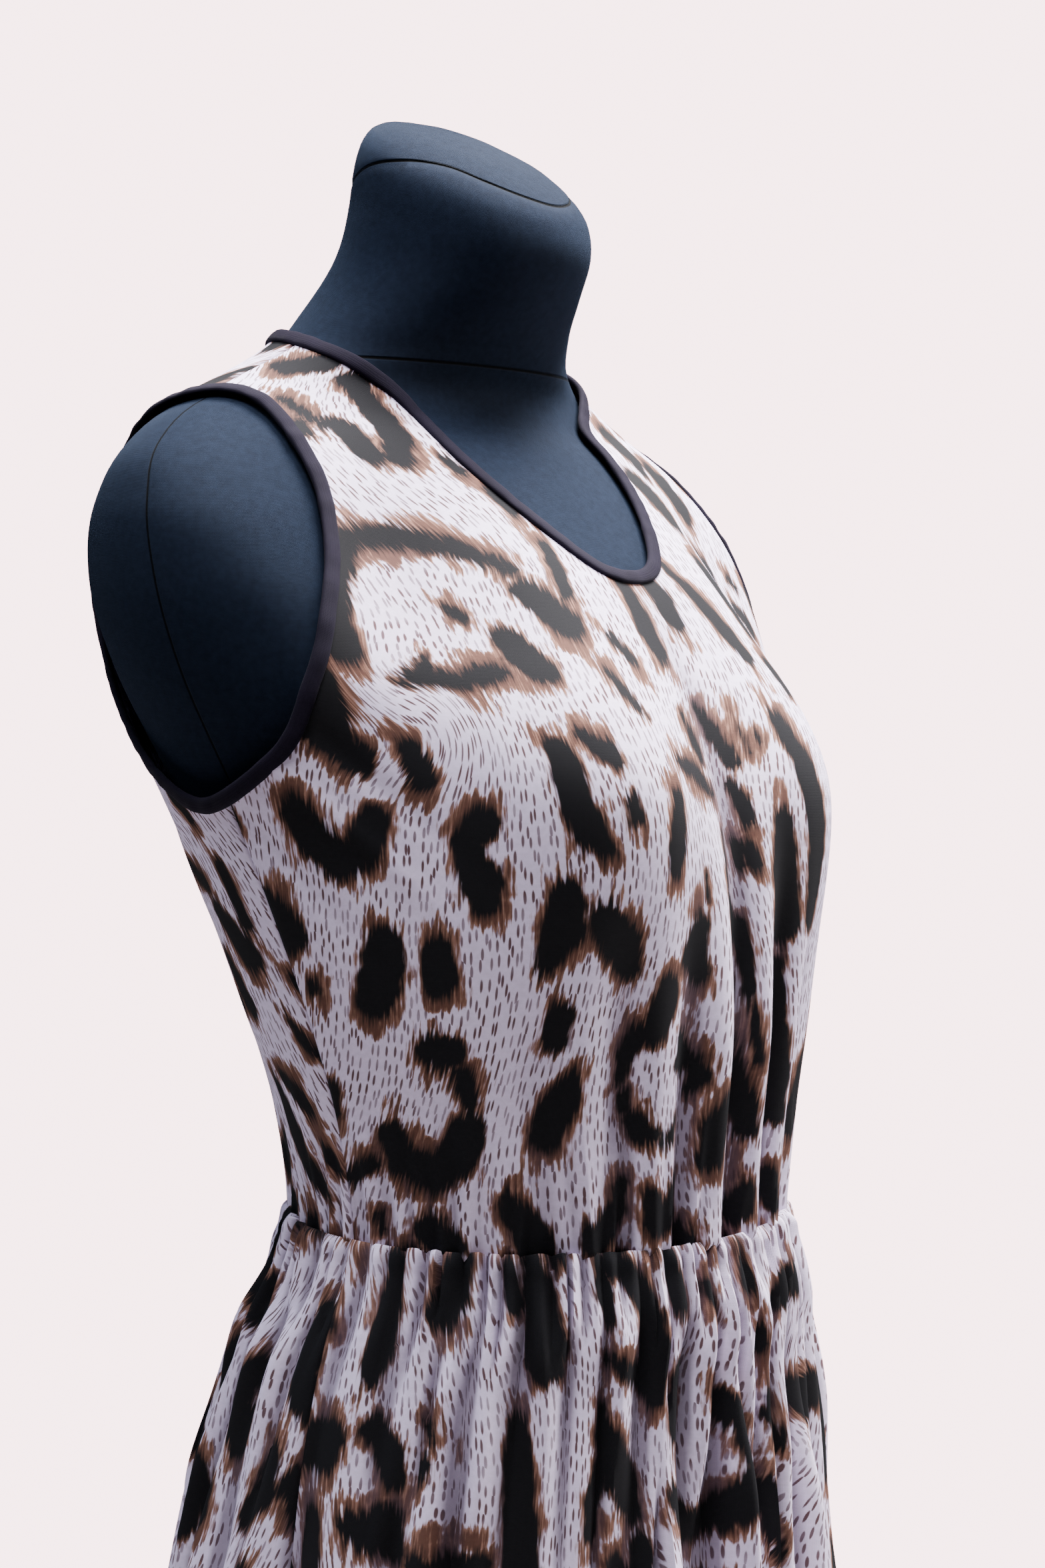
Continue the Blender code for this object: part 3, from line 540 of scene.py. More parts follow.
def printFields(uv, paintedFoldShadeMask):
    # per point: how far it is from a dark mark, how fast that grows along the fur, how far from a
    # brown place, its place in the fur, and how deep it lies in a fold, for the painted shade there
    x, y = uv[..., 0], uv[..., 1]
    small = printChart["probe"]
    across, along = hairPlace(x, y)
    byX = (hairPlace(x + small, y)[0] - across) / small
    byY = (hairPlace(x, y + small)[0] - across) / small
    size = np.hypot(byX, byY)
    distance = nearestMark(x, y, printChart["allMarks"])
    further = nearestMark(x - small * byY / size, y + small * byX / size, printChart["allMarks"])
    slope = np.clip(np.abs(further - distance) / small, 0, 1)
    brown = nearestMark(x, y, printChart["browns"])
    return {
        "mark": np.stack([distance, slope, brown], axis=-1),
        "fur": np.stack([across, along, np.zeros_like(x)], axis=-1),
        "paintedFoldShadeMask": np.stack([paintedFoldShadeMask] * 3, axis=-1),
    }


printLook = {
    "roughness": 0.86,
    "specular": 0.12,
    "ground": (0.79, 0.69, 0.90, 1),
    "dash": (0.120, 0.066, 0.072, 1),
    "paleBrown": (0.290, 0.150, 0.108, 1),
    "brown": (0.115, 0.055, 0.040, 1),
    "black": (0.0060, 0.0060, 0.0075, 1),
    "furStreak": (0.0011, 0.016),  # width and length
    "tuftWidth": 0.45,  # streaks for each tuft's width
    "wobble": (75.0, 0.005),  # scale, and how far the edges move
    "spread": 0.0004,  # how far the dye has run
    "blackFringe": (0.0022, 0.013),  # how ragged its sides and its ends are
    "blackTufts": 0.006,
    "blackEdge": (0.0011, 0.0020),  # how soft, and how much softer at the ends
    "brownFringe": (0.0040, 0.026),
    "brownWidth": (0.0029, 0.0070),  # at the sides and at the ends
    "brownHairs": 0.008,
    "brownEdge": (0.0012, -0.0016),
    "brownPatches": ((34, 30, 1), 0.36, 0.64, 0.1),  # scale, low, high, the width left at low
    "paleHairs": 0.012,
    "paleEdge": (-0.0050, 0.0002),
    "dashCell": (0.0036, 0.0072),  # how far apart the dashes are, across and along
    "dashHalf": (0.185, 0.46),  # half their width and length, in cells
    "dashHairs": 1.6,
    "dashEdge": (1.15, 0.45),
    "dashPatches": (60.0, 0.3, 0.6, 0.6),  # scale, low, high, the strength left at low
    # painted shade: deep in the folds the cloth is painted darker, towards this purple grey
    "paintedFoldShade": (0.075, 0.052, 0.075, 1),
    "paintedFoldShadeShare": 0.65,
    "stitch": 0.00075,
    "stitchShade": (0.005, 0.0045, 0.005, 1),
    "stitchRange": (0.2, 0.8, 0.0, 0.12),
    "relief": (0.00012, 0.6),
}


def centred(tree, vector, scale, detail):
    # noise that runs from -0.5 to 0.5
    return calc(tree, "SUBTRACT", noise(tree, vector, scale, detail), 0.5)


def furDashes(tree, fur, hairs):
    # short dashes of fur, one in each cell of a loose grid
    look = printLook
    wide, long = look["dashCell"]
    cells = scaled(tree, fur, (1 / wide, 1 / long, 1))
    voronoi = tree.nodes.new("ShaderNodeTexVoronoi")
    voronoi.voronoi_dimensions = "2D"
    voronoi.inputs["Randomness"].default_value = 0.7
    voronoi.inputs["Scale"].default_value = 1.0
    tree.links.new(cells, voronoi.inputs["Vector"])
    places = zip(parts(tree, cells), parts(tree, voronoi.outputs["Position"]), look["dashHalf"])
    across, along = [
        calc(tree, "POWER", calc(
            tree, "DIVIDE", calc(tree, "ABSOLUTE", calc(tree, "SUBTRACT", place, middle)), half
        ), 2.0)
        for place, middle, half in places
    ]
    oval = calc(tree, "ADD", along, across)
    oval = calc(tree, "MULTIPLY_ADD", hairs, look["dashHairs"], oval)
    scale, low, high, least = look["dashPatches"]
    strength = ramp(tree, noise(tree, fur, scale, 1.0), low, high, least, 1.0)
    return calc(tree, "MULTIPLY", ramp(tree, oval, *look["dashEdge"]), strength)


def printedJersey():
    look = printLook
    material, tree, shader = newMaterial(
        "printedJersey", look["roughness"], {"Specular IOR Level": look["specular"]}
    )
    fur = attribute(tree, "fur")
    distance, endOn, brownPlace = parts(tree, attribute(tree, "mark"))
    paintedFoldShadeMask = parts(tree, attribute(tree, "paintedFoldShadeMask"))[0]
    wide, long = (1 / size for size in look["furStreak"])
    hairs = centred(tree, scaled(tree, fur, (wide, long, 1)), 1.0, 2.5)
    tufts = scaled(tree, fur, (look["tuftWidth"] * wide, long, 1), (31, 7, 0))
    tufts = centred(tree, tufts, 1.0, 3.0)
    scale, wobble = look["wobble"]
    distance = calc(tree, "MULTIPLY_ADD", centred(tree, fur, scale, 1.0), wobble, distance)
    distance = calc(tree, "SUBTRACT", distance, look["spread"])

    # black marks with ragged ends along the fur
    sides, ends = look["blackFringe"]
    pull = calc(tree, "MULTIPLY_ADD", endOn, ends, sides)
    edge = calc(tree, "MULTIPLY_ADD", hairs, pull, distance)
    pull = calc(tree, "MULTIPLY", endOn, look["blackTufts"])
    edge = calc(tree, "MULTIPLY_ADD", tufts, pull, edge)
    sides, ends = look["blackEdge"]
    soft = calc(tree, "MULTIPLY_ADD", endOn, ends, sides)
    black = ramp(tree, edge, soft, calc(tree, "MULTIPLY", soft, -1.0))

    # brown fur round them, widest at some ends, and in a few places alone
    scale, low, high, least = look["brownPatches"]
    patch = noise(tree, scaled(tree, fur, scale, (3, 5, 0)), 1.0, 1.0)
    patch = ramp(tree, patch, low, high, least, 1.0)
    sides, ends = look["brownWidth"]
    halo = calc(tree, "MULTIPLY_ADD", endOn, ends, sides)
    rim = calc(tree, "SUBTRACT", distance, calc(tree, "MULTIPLY", halo, patch))
    rim = calc(tree, "MINIMUM", rim, brownPlace)
    sides, ends = look["brownFringe"]
    pull = calc(tree, "MULTIPLY_ADD", endOn, ends, sides)
    rim = calc(tree, "MULTIPLY_ADD", tufts, pull, rim)
    rim = calc(tree, "MULTIPLY_ADD", hairs, look["brownHairs"], rim)
    brown = ramp(tree, rim, *look["brownEdge"])
    pale = ramp(tree, calc(tree, "MULTIPLY_ADD", hairs, look["paleHairs"], rim), *look["paleEdge"])

    stitches = knit(tree, look["stitch"])
    colour = blend(tree, furDashes(tree, fur, hairs), look["ground"], look["dash"])
    fringe = blend(tree, pale, look["brown"], look["paleBrown"])
    colour = blend(tree, brown, colour, fringe)
    # painted shade: the colour darkens where the cloth lies deep in a fold
    shaded = calc(tree, "MULTIPLY", paintedFoldShadeMask, look["paintedFoldShadeShare"])
    colour = blend(tree, shaded, colour, look["paintedFoldShade"])
    colour = blend(tree, black, colour, look["black"])
    # random cloudiness, with painted shade in the stitches' low parts
    shade = ramp(tree, stitches["Shade"], *look["stitchRange"])
    colour = blend(tree, shade, colour, look["stitchShade"])
    paint(tree, shader, colour, stitches["Height"], look["relief"])
    return material


bindingLook = {
    "roughness": 0.8,
    "settings": {"Sheen Weight": 0.02, "Sheen Roughness": 0.4, "Specular IOR Level": 0.05},
    "stitch": 0.0008,
    "patches": (90.0, 3.0),  # scale, detail
    "shares": (0.6, 0.3),  # of the patches, of the stitches
    "dark": (0.0034, 0.0026, 0.0058, 1),
    "light": (0.0108, 0.0080, 0.0178, 1),
    "relief": (0.00015, 0.7),
}

formLook = {
    "roughness": 0.80,
    "settings": {
        "Sheen Weight": 0.03, "Sheen Roughness": 0.30, "Sheen Tint": (0.50, 0.68, 1, 1),
        "Specular IOR Level": 0.03,
    },
    "stitch": 0.0007,
    "patches": (260.0, 4.0),
    "shares": (0.7, 0.25),
    "dark": (0.0028, 0.0045, 0.0092, 1),
    "light": (0.0100, 0.0158, 0.0300, 1),
    "relief": (0.00012, 0.8),
    "seamEdge": (0.0012, 0.0002),  # from the seam's line, where its groove starts and is full
    "seamColour": (0.0004, 0.0004, 0.0006, 1),
    "seamDepth": -6.0,  # in stitches' heights
}


def plainJersey(name, look):
    # a dark knit of one colour, with the grooves of its seams if it has any
    material, tree, shader = newMaterial(name, look["roughness"], look["settings"])
    place = tree.nodes.new("ShaderNodeTexCoord").outputs["Object"]
    stitches = knit(tree, look["stitch"])
    patchShare, stitchShare = look["shares"]
    # random cloudiness, with painted shade in the stitches' low parts
    share = calc(
        tree, "MULTIPLY_ADD", noise(tree, place, *look["patches"]), patchShare,
        calc(tree, "MULTIPLY", stitches["Shade"], stitchShare),
    )
    colour, height = blend(tree, share, look["dark"], look["light"]), stitches["Height"]
    if "seamEdge" in look:
        seams = [calc(tree, "ABSOLUTE", away) for away in parts(tree, attribute(tree, "seams"))]
        nearest = calc(tree, "MINIMUM", calc(tree, "MINIMUM", seams[0], seams[1]), seams[2])
        groove = ramp(tree, nearest, *look["seamEdge"])
        colour = blend(tree, groove, colour, look["seamColour"])
        height = calc(tree, "MULTIPLY_ADD", groove, look["seamDepth"], height)
    paint(tree, shader, colour, height, look["relief"])
    return material


steelLooks = {
    "blackSteel": {
        "colour": (0.030, 0.030, 0.032), "roughness": 0.42, "metallic": 0.6,
        "grain": (420, 420, 420),
    },
    "polishedSteel": {
        "colour": (0.62, 0.62, 0.64), "roughness": 0.24, "metallic": 1.0, "grain": (900, 900, 12),
    },
    "darkShare": 0.8,  # the specks' colour, as a share of the steel's
    "roughnessRange": (-0.08, 0.1),
    "relief": (0.00004, 0.5),
}


def steel(name):
    look = steelLooks[name]
    base, roughness = look["colour"], look["roughness"]
    material, tree, shader = newMaterial(name, roughness, {"Metallic": look["metallic"]})
    place = tree.nodes.new("ShaderNodeTexCoord").outputs["Object"]
    specks = noise(tree, scaled(tree, place, look["grain"]), 1.0, 3.0)
    dark = tuple(steelLooks["darkShare"] * value for value in base)
    colour = blend(tree, specks, (*dark, 1), (*base, 1))
    smoother, rougher = steelLooks["roughnessRange"]
    rough = ramp(tree, specks, 0.2, 0.8, roughness + smoother, roughness + rougher)
    tree.links.new(rough, shader.inputs["Roughness"])
    paint(tree, shader, colour, specks, steelLooks["relief"])
    return material


torso = {
    "columns": 144,
    "rowStep": 0.0042,
    "bottom": -0.270,
    "bodyTop": 0.472,  # above this the rings lean over to the cap's seam
    "capSeam": (  # turn, height
        (-20.0, 0.5170), (0.0, 0.5155), (20.0, 0.5170), (41.0, 0.5195), (60.0, 0.5212),
        (78.0, 0.5185), (93.0, 0.5135), (142.0, 0.4930), (180.0, 0.4870), (218.0, 0.4930),
    ),
    "round": 0.006,  # edge of the underside
    "neckSeam": 1.4575,  # height of the seam round the neck's base
    "neckSeamSlope": 0.03,
    "capCuts": (0.5235, 0.525, 0.5265, 0.528, 0.5295, 0.531, 0.5325, 0.534),
    "capInsets": (0.7, 0.35),
    "capCrown": 0.0012,  # how far the cap's middle stands up
    "seamInset": 0.0005,
    "seamGap": 0.0003,
}


def ringTurns(height):
    # turns that crowd where the ring bends sharply
    halfWidth, front, behind = smoothRows(figure["sections"], np.array(height))[:3]
    share = np.linspace(-np.pi, np.pi, torso["columns"] + 1)
    depth = np.where(np.cos(share) > 0, front, behind)
    return np.degrees(np.arctan2(halfWidth * np.sin(share), depth * np.cos(share)))


def bodyRing(height, inset=0.0):
    return figurePoint(ringTurns(height), height, -inset)


def seamRing(level, share, gap, inset=0.0):
    # leans from a level ring to the seam of the neck's cap as its share goes to 1
    turn = ringTurns(level)
    seam = smoothRows(torso["capSeam"], np.abs(turn))[..., 0] + gap
    return figurePoint(turn, level + share * (seam - level), -inset)


def seamFields(points):
    x, y, z = np.moveaxis(points, -1, 0)
    neck = z - torso["neckSeam"] - torso["neckSeamSlope"] * (y - 0.05)
    rows = np.array(figure["sections"])
    centre = smoothRows(rows[:, [0, 4]], z - figure["waist"])[..., 0]
    side = np.where(z < torso["neckSeam"], y - centre, 1.0)
    tallRow = np.linalg.norm(points - points[-1:], axis=-1)
    return np.stack([neck, side, tallRow], axis=-1)


def lengthsUV(points):
    # cloth lengths round and up from the middle column and the bottom row
    roundIt = np.linalg.norm(np.diff(points, axis=1), axis=-1)
    roundIt = np.concatenate([np.zeros((len(points), 1)), np.cumsum(roundIt, axis=1)], axis=1)
    roundIt -= roundIt[:, points.shape[1] // 2][:, None]
    upIt = np.linalg.norm(np.diff(points, axis=0), axis=-1)
    upIt = np.concatenate([np.zeros((1, points.shape[1])), np.cumsum(upIt, axis=0)], axis=0)
    return np.stack([roundIt, upIt], axis=-1)


def closeRound(mesh):
    bmesh.ops.remove_doubles(mesh, verts=mesh.verts, dist=0.00002)
    bmesh.ops.recalc_face_normals(mesh, faces=mesh.faces)


def makeCover(name, node, rings, fields, material):
    # rings joined round, and closed where they end; fields gives each point's way from the seams
    points = np.stack(rings)
    mesh = gridMesh(points, lengthsUV(points), {"seams": fields(points)})
    closeRound(mesh)
    ends = [edge for edge in mesh.edges if edge.is_boundary]
    bmesh.ops.holes_fill(mesh, edges=ends, sides=0)
    bmesh.ops.recalc_face_normals(mesh, faces=mesh.faces)
    finish(name, node, mesh, material, 50)


def makeTorso(material):
    low, high = torso["bottom"], torso["bodyTop"]
    count = int((high - low) / torso["rowStep"])
    lip = [(torso["round"], torso["round"]), (0.3 * torso["round"], 0.7 * torso["round"])]
    rings = [bodyRing(low, inset) - (0, 0, drop) for inset, drop in lip]
    rings += [bodyRing(height) for height in np.linspace(low, high, count)]
    inset = torso["seamInset"]
    rings += [seamRing(high, share, 0, inset * (share == 1)) for share in np.linspace(0.1, 1, 12)]
    makeCover("torsoCover", "form_body", rings, seamFields, material)


def capFields(points):
    far = np.ones(points.shape[:2])
    return np.stack([far, far, np.linalg.norm(points - points[:1], axis=-1)], axis=-1)


def makeNeckCap(material):
    low, gap, inset = torso["capCuts"][0], torso["seamGap"], torso["seamInset"]
    rings = [seamRing(low, share, gap, inset * (share == 1)) for share in np.linspace(1, 0.1, 9)]
    rings += [bodyRing(height) for height in torso["capCuts"]]
    rim, middle = rings[-1], rings[-1].mean(axis=0)
    crown = np.array((0, 0, torso["capCrown"]))
    rings += [middle + share * (rim - middle) + (1 - share) * crown for share in torso["capInsets"]]
    makeCover("neckCap", "form_neck_cap", rings, capFields, material)


bodice = {
    "columns": 220,
    "rows": 200,
    "top": 0.432,
    "tuck": 0.004,  # how far the cloth runs on below the waist seam
    "thickness": 0.0009,
    "standOff": 0.0022,
    "seamDip": (0.0009, 0.0022),  # how far the side and shoulder seams pull the cloth in, how wide
    "panelHalf": 0.25,  # half a panel's width
    "underStep": 0.003,  # how far the tucked cloth lies further in
    "furrow": ((3, 6), 0.0032),  # columns to each side, and the depth that counts as full, for the painted shade in the folds
    "backShift": (0.23, 0.17),  # where the back is laid on the print
    "ease": (  # height, ease
        (0.000, 0.0080), (0.050, 0.0100), (0.100, 0.0100), (0.150, 0.0100), (0.190, 0.0080),
        (0.225, 0.0050), (0.270, 0.0030), (0.310, 0.0018), (0.340, 0.0012), (0.375, 0.0016),
        (0.440, 0.0016),
    ),
    "neck": (  # turn, height, half way round
        (0.0, 0.3095), (12.0, 0.3150), (21.0, 0.3290), (28.5, 0.3430), (38.0, 0.3635),
        (48.0, 0.3880), (63.0, 0.4090), (82.0, 0.4215), (105.0, 0.4270), (135.0, 0.4230),
        (160.0, 0.4150), (180.0, 0.4110),
    ),
    "armhole": (  # turn, height, from the shoulder down the front and up the back
        (90.0, 0.3975), (79.5, 0.3930), (72.0, 0.3765), (66.5, 0.3510), (64.5, 0.3195),
        (67.3, 0.2887), (71.5, 0.2615), (79.0, 0.2285), (94.0, 0.2048), (106.0, 0.2180),
        (117.0, 0.2440), (125.0, 0.2760), (128.0, 0.3120), (125.5, 0.3440), (117.0, 0.3710),
        (104.0, 0.3900),
    ),
    "armholeMiddle": ((94.0, 0.30), (32.0, 0.10)),  # turn and height, and the reach of each
    "leftNeck": (60, 14, 0.0055),  # the left side lies lower: turn, spread, how much
    "leftShoulder": (0.332, 0.085, 13.0),  # and further out: height, spread, degrees
    "drapes": (  # turn, height, depth, width, lean
        (-62.0, 0.100, 0.0018, 3.0, -4.0), (-50.0, 0.150, -0.0022, 3.4, -3.0),
        (-41.0, 0.190, 0.0030, 3.2, -2.0), (-33.0, 0.170, -0.0034, 3.0, -2.0),
        (-25.0, 0.200, 0.0040, 3.0, -1.0), (-16.0, 0.180, -0.0050, 2.1, 0.0),
        (-7.0, 0.240, 0.0058, 3.0, 1.0), (1.5, 0.220, -0.0070, 2.0, 1.0),
        (8.5, 0.250, 0.0058, 2.6, 1.5), (15.5, 0.230, -0.0070, 2.0, 2.0),
        (22.5, 0.230, 0.0052, 3.0, 2.0), (31.0, 0.170, -0.0048, 3.2, 3.0),
        (42.0, 0.180, 0.0028, 3.6, 3.0), (54.0, 0.120, -0.0022, 4.0, 4.0),
        (112.0, 0.130, 0.0026, 4.2, 3.0), (127.0, 0.170, -0.0026, 4.0, 3.0),
        (141.0, 0.150, 0.0030, 4.0, 2.0), (156.0, 0.190, -0.0030, 4.2, 1.0),
        (171.0, 0.160, 0.0030, 4.0, 0.0), (186.0, 0.200, -0.0028, 4.4, -1.0),
        (201.0, 0.150, 0.0030, 4.0, -2.0), (216.0, 0.170, -0.0026, 4.0, -2.0),
        (232.0, 0.140, 0.0026, 4.2, -3.0), (247.0, 0.110, -0.0020, 4.0, -4.0),
    ),
    "puckers": {"count": 72, "seed": 5, "depth": 0.0032, "width": 1.3, "tall": (0.018, 0.075)},
    "pulls": (  # short creases that run from the armhole: turn, height, depth, width, tall, lean
        (76.0, 0.205, 0.0018, 2.6, 0.045, 260), (70.0, 0.225, -0.0014, 2.4, 0.040, 240),
        (106.0, 0.200, 0.0016, 2.8, 0.045, -260), (84.0, 0.180, -0.0012, 2.2, 0.040, 200),
    ),
}


def bodiceBase(turn, height):
    ease = smoothRows(bodice["ease"], height)[..., 0]
    return figurePoint(turn, height, ease)


def bodiceFolds(turn, height):
    total = np.zeros(np.broadcast(turn, height).shape)
    for centre, high, depth, width, lean in bodice["drapes"]:
        away = wrapTurn(turn - centre - lean * height / high)
        reach = fade(height, high, high * 0.35)
        total += depth * bell(away, width * (1 + height / high)) * reach
    puckers = bodice["puckers"]
    rng = np.random.default_rng(puckers["seed"])
    for i in range(puckers["count"]):
        centre = (i + rng.uniform(-0.3, 0.3)) * 360 / puckers["count"]
        tall = rng.uniform(*puckers["tall"])
        depth = puckers["depth"] * rng.uniform(0.5, 1.3)
        width = puckers["width"] * rng.uniform(0.8, 1.2)
        lean = rng.normal(0, 30)
        away = wrapTurn(turn - centre - lean * np.clip(height, 0, 1))
        total += depth * bell(away, width) * bell(np.maximum(height, 0), tall)
    for centre, level, depth, width, tall, lean in bodice["pulls"]:
        for side in (1, -1):
            away = wrapTurn(side * turn - centre - lean * (height - level))
            total += depth * bell(away, width) * bell(height - level, tall)
    return total


def bodicePoint(turn, height, lift=None):
    if lift is None:
        lift = bodice["standOff"] + bodiceFolds(turn, height)
    return bodiceBase(turn, height) + lift[..., None] * outward(bodiceBase, turn, height)


def neckHeight(turn):
    half = list(bodice["neck"])
    whole = [(-t, h) for t, h in half[3:0:-1]] + half + [(360 - t, h) for t, h in half[-2:-5:-1]]
    place, spread, lower = bodice["leftNeck"]
    height = smoothRows(whole, np.abs(wrapTurn(turn)))[..., 0]
    return height - lower * bell(wrapTurn(turn) - place, spread)


def leftArmhole(turn, height):
    place, spread, out = bodice["leftShoulder"]
    return turn + out * bell(height - place, spread) * fade(turn, 108, 86)


def armholeLine(count):
    rows = np.array(bodice["armhole"])
    looped = np.vstack([rows[-2:], rows, rows[:3]])
    numbered = np.column_stack([np.arange(-2, len(rows) + 3), looped])
    return smoothRows(numbered, np.linspace(0, len(rows), count, endpoint=False)).T


def insideArmhole(turn, height, left):
    lineTurn, lineHeight = armholeLine(360)
    if left:
        lineTurn = leftArmhole(lineTurn, lineHeight)
    (midTurn, midHeight), (wide, tall) = bodice["armholeMiddle"]
    a, b = (lineTurn - midTurn) / wide, (lineHeight - midHeight) / tall
    spokes, reaches = np.degrees(np.arctan2(b, a)), np.hypot(a, b)
    order = np.argsort(spokes)
    a = (wrapTurn(turn if left else -turn) - midTurn) / wide
    b = (height - midHeight) / tall
    reach = np.interp(np.degrees(np.arctan2(b, a)), spokes[order], reaches[order], period=360)
    return np.hypot(a, b) < reach


def outlineRun():
    rows = np.array(figure["sections"])
    hops = np.hypot(np.diff(rows[:, 0]), np.diff(rows[:, 1]))
    return rows[:, 0], np.concatenate([[0], np.cumsum(hops)])


def makeBodice(name, node, middle, material):
    heights, runs = outlineRun()
    low, high = np.interp([-bodice["tuck"], bodice["top"]], heights, runs)
    height = np.interp(np.linspace(low, high, bodice["rows"] + 1), runs, heights)
    share = np.linspace(-1, 1, bodice["columns"] + 1)
    turn = np.empty((len(height), len(share)))
    for row, level in enumerate(height):
        quarter = np.linspace(0, 90, 61)
        hops = np.linalg.norm(np.diff(bodiceBase(middle + quarter, level), axis=0), axis=1)
        lengths = np.concatenate([[0], np.cumsum(hops)])
        reach = np.interp(np.abs(share) * lengths[-1], lengths, quarter)
        turn[row] = middle + np.sign(share) * reach
    height = np.repeat(height[:, None], len(share), axis=1)

    # faces inside an opening go, and the ragged edge is drawn onto the opening's line
    midTurn = (turn[1:, 1:] + turn[:-1, :-1]) / 2
    midHeight = (height[1:, 1:] + height[:-1, :-1]) / 2
    drop = (midHeight > neckHeight(midTurn)) | insideArmhole(midTurn, midHeight, True)
    drop |= insideArmhole(midTurn, midHeight, False)
    kept, gone = np.zeros(turn.shape, bool), np.zeros(turn.shape, bool)
    for down in (slice(None, -1), slice(1, None)):
        for over in (slice(None, -1), slice(1, None)):
            kept[down, over] |= ~drop
            gone[down, over] |= drop
    edge = kept & (gone | (height == height.max()))
    roundNeck = np.linspace(middle - 95, middle + 95, 900)
    holeTurn, holeHeight = armholeLine(500)
    rightTurn = 360 * (middle > 0) - holeTurn
    lineTurn = np.concatenate([roundNeck, leftArmhole(holeTurn, holeHeight), rightTurn])
    lineHeight = np.concatenate([neckHeight(roundNeck), holeHeight, holeHeight])
    line = bodiceBase(lineTurn, lineHeight)
    flat = bodiceBase(turn[edge], height[edge])
    nearest = np.array([np.argmin(((line - place) ** 2).sum(axis=1)) for place in flat])
    turn[edge], height[edge] = lineTurn[nearest], lineHeight[nearest]

    points = bodicePoint(turn, height)
    uv = lengthsUV(bodiceBase(turn, height))
    uv[..., 1] -= bodice["tuck"]
    if middle:
        uv += bodice["backShift"]
    # the side and shoulder seams pull the panel's edge in
    out = outward(bodiceBase, turn, height)
    deep, wide = bodice["seamDip"]
    dip = deep * bell((1 - np.abs(share)) * bodice["panelHalf"], wide)
    points -= dip[None, :, None] * out
    # below the waist seam the cloth turns under the skirt's edge
    under = np.clip(-height / bodice["tuck"], 0, 1)
    points -= bodice["underStep"] * under[..., None] * out
    mesh = gridMesh(points, uv, printFields(uv, furrow(points, *bodice["furrow"])), drop)
    return finish(name, node, mesh, material, thickness=bodice["thickness"])


binding = {
    "width": 0.0082,
    "inner": 0.0008,  # how far its inside lies off the bodice's own base
    "outer": 0.0044,
    "sides": 14,
    "steps": 340,
    "square": (0.75, 0.8),  # how square its section is, across and up
    "around": 0.022,  # cloth round its section
    "waves": (9, 60, 14),  # least and most in its length, and how many
    "ripple": 0.00007,
    "swell": 0.006,
}


def evenLine(turn, height, count):
    # a closed line cut into equal lengths
    turn, height = np.append(turn, turn[0]), np.append(height, height[0])
    points = bodiceBase(turn, height)
    run = np.concatenate([[0], np.cumsum(np.linalg.norm(np.diff(points, axis=0), axis=1))])
    stops = np.linspace(0, run[-1], count + 1)
    return np.interp(stops, run, turn), np.interp(stops, run, height), stops


def makeBinding(name, node, turn, height, material, seed):
    turn, height, stops = evenLine(turn, height, binding["steps"])
    middle = bodiceBase(turn, height)
    up = outward(bodiceBase, turn, height)
    along = np.roll(middle[:-1], -1, axis=0) - np.roll(middle[:-1], 1, axis=0)
    along = np.vstack([along, along[:1]])
    along /= np.linalg.norm(along, axis=1, keepdims=True)
    side = np.cross(along, up)
    side /= np.linalg.norm(side, axis=1, keepdims=True)
    rng = np.random.default_rng(seed)
    waves = sum(
        rng.uniform(0.3, 1) * np.sin(2 * np.pi * n * stops / stops[-1] + rng.uniform(0, 6))
        for n in rng.integers(*binding["waves"])
    )
    angle = np.linspace(0, 2 * np.pi, binding["sides"] + 1)
    flatter, taller = binding["square"]
    across = np.sign(np.cos(angle)) * np.abs(np.cos(angle)) ** flatter * binding["width"] / 2
    rise = (binding["outer"] + binding["inner"]) / 2
    tall = (binding["outer"] - binding["inner"]) / 2
    lift = rise + np.sign(np.sin(angle)) * np.abs(np.sin(angle)) ** taller * tall
    swell = 1 + binding["swell"] * waves
    lift = lift[None, :] + binding["ripple"] * waves[:, None] * np.sin(angle)[None, :]
    points = (
        middle[:, None]
        + side[:, None] * (across[None, :] * swell[:, None])[..., None]
        + up[:, None] * lift[..., None]
    )
    lanes = np.broadcast_to(angle / (2 * np.pi) * binding["around"], points.shape[:2])
    uv = np.stack([np.broadcast_to(stops[:, None], points.shape[:2]), lanes], axis=-1)
    mesh = gridMesh(points, uv)
    closeRound(mesh)
    return finish(name, node, mesh, material, 180)


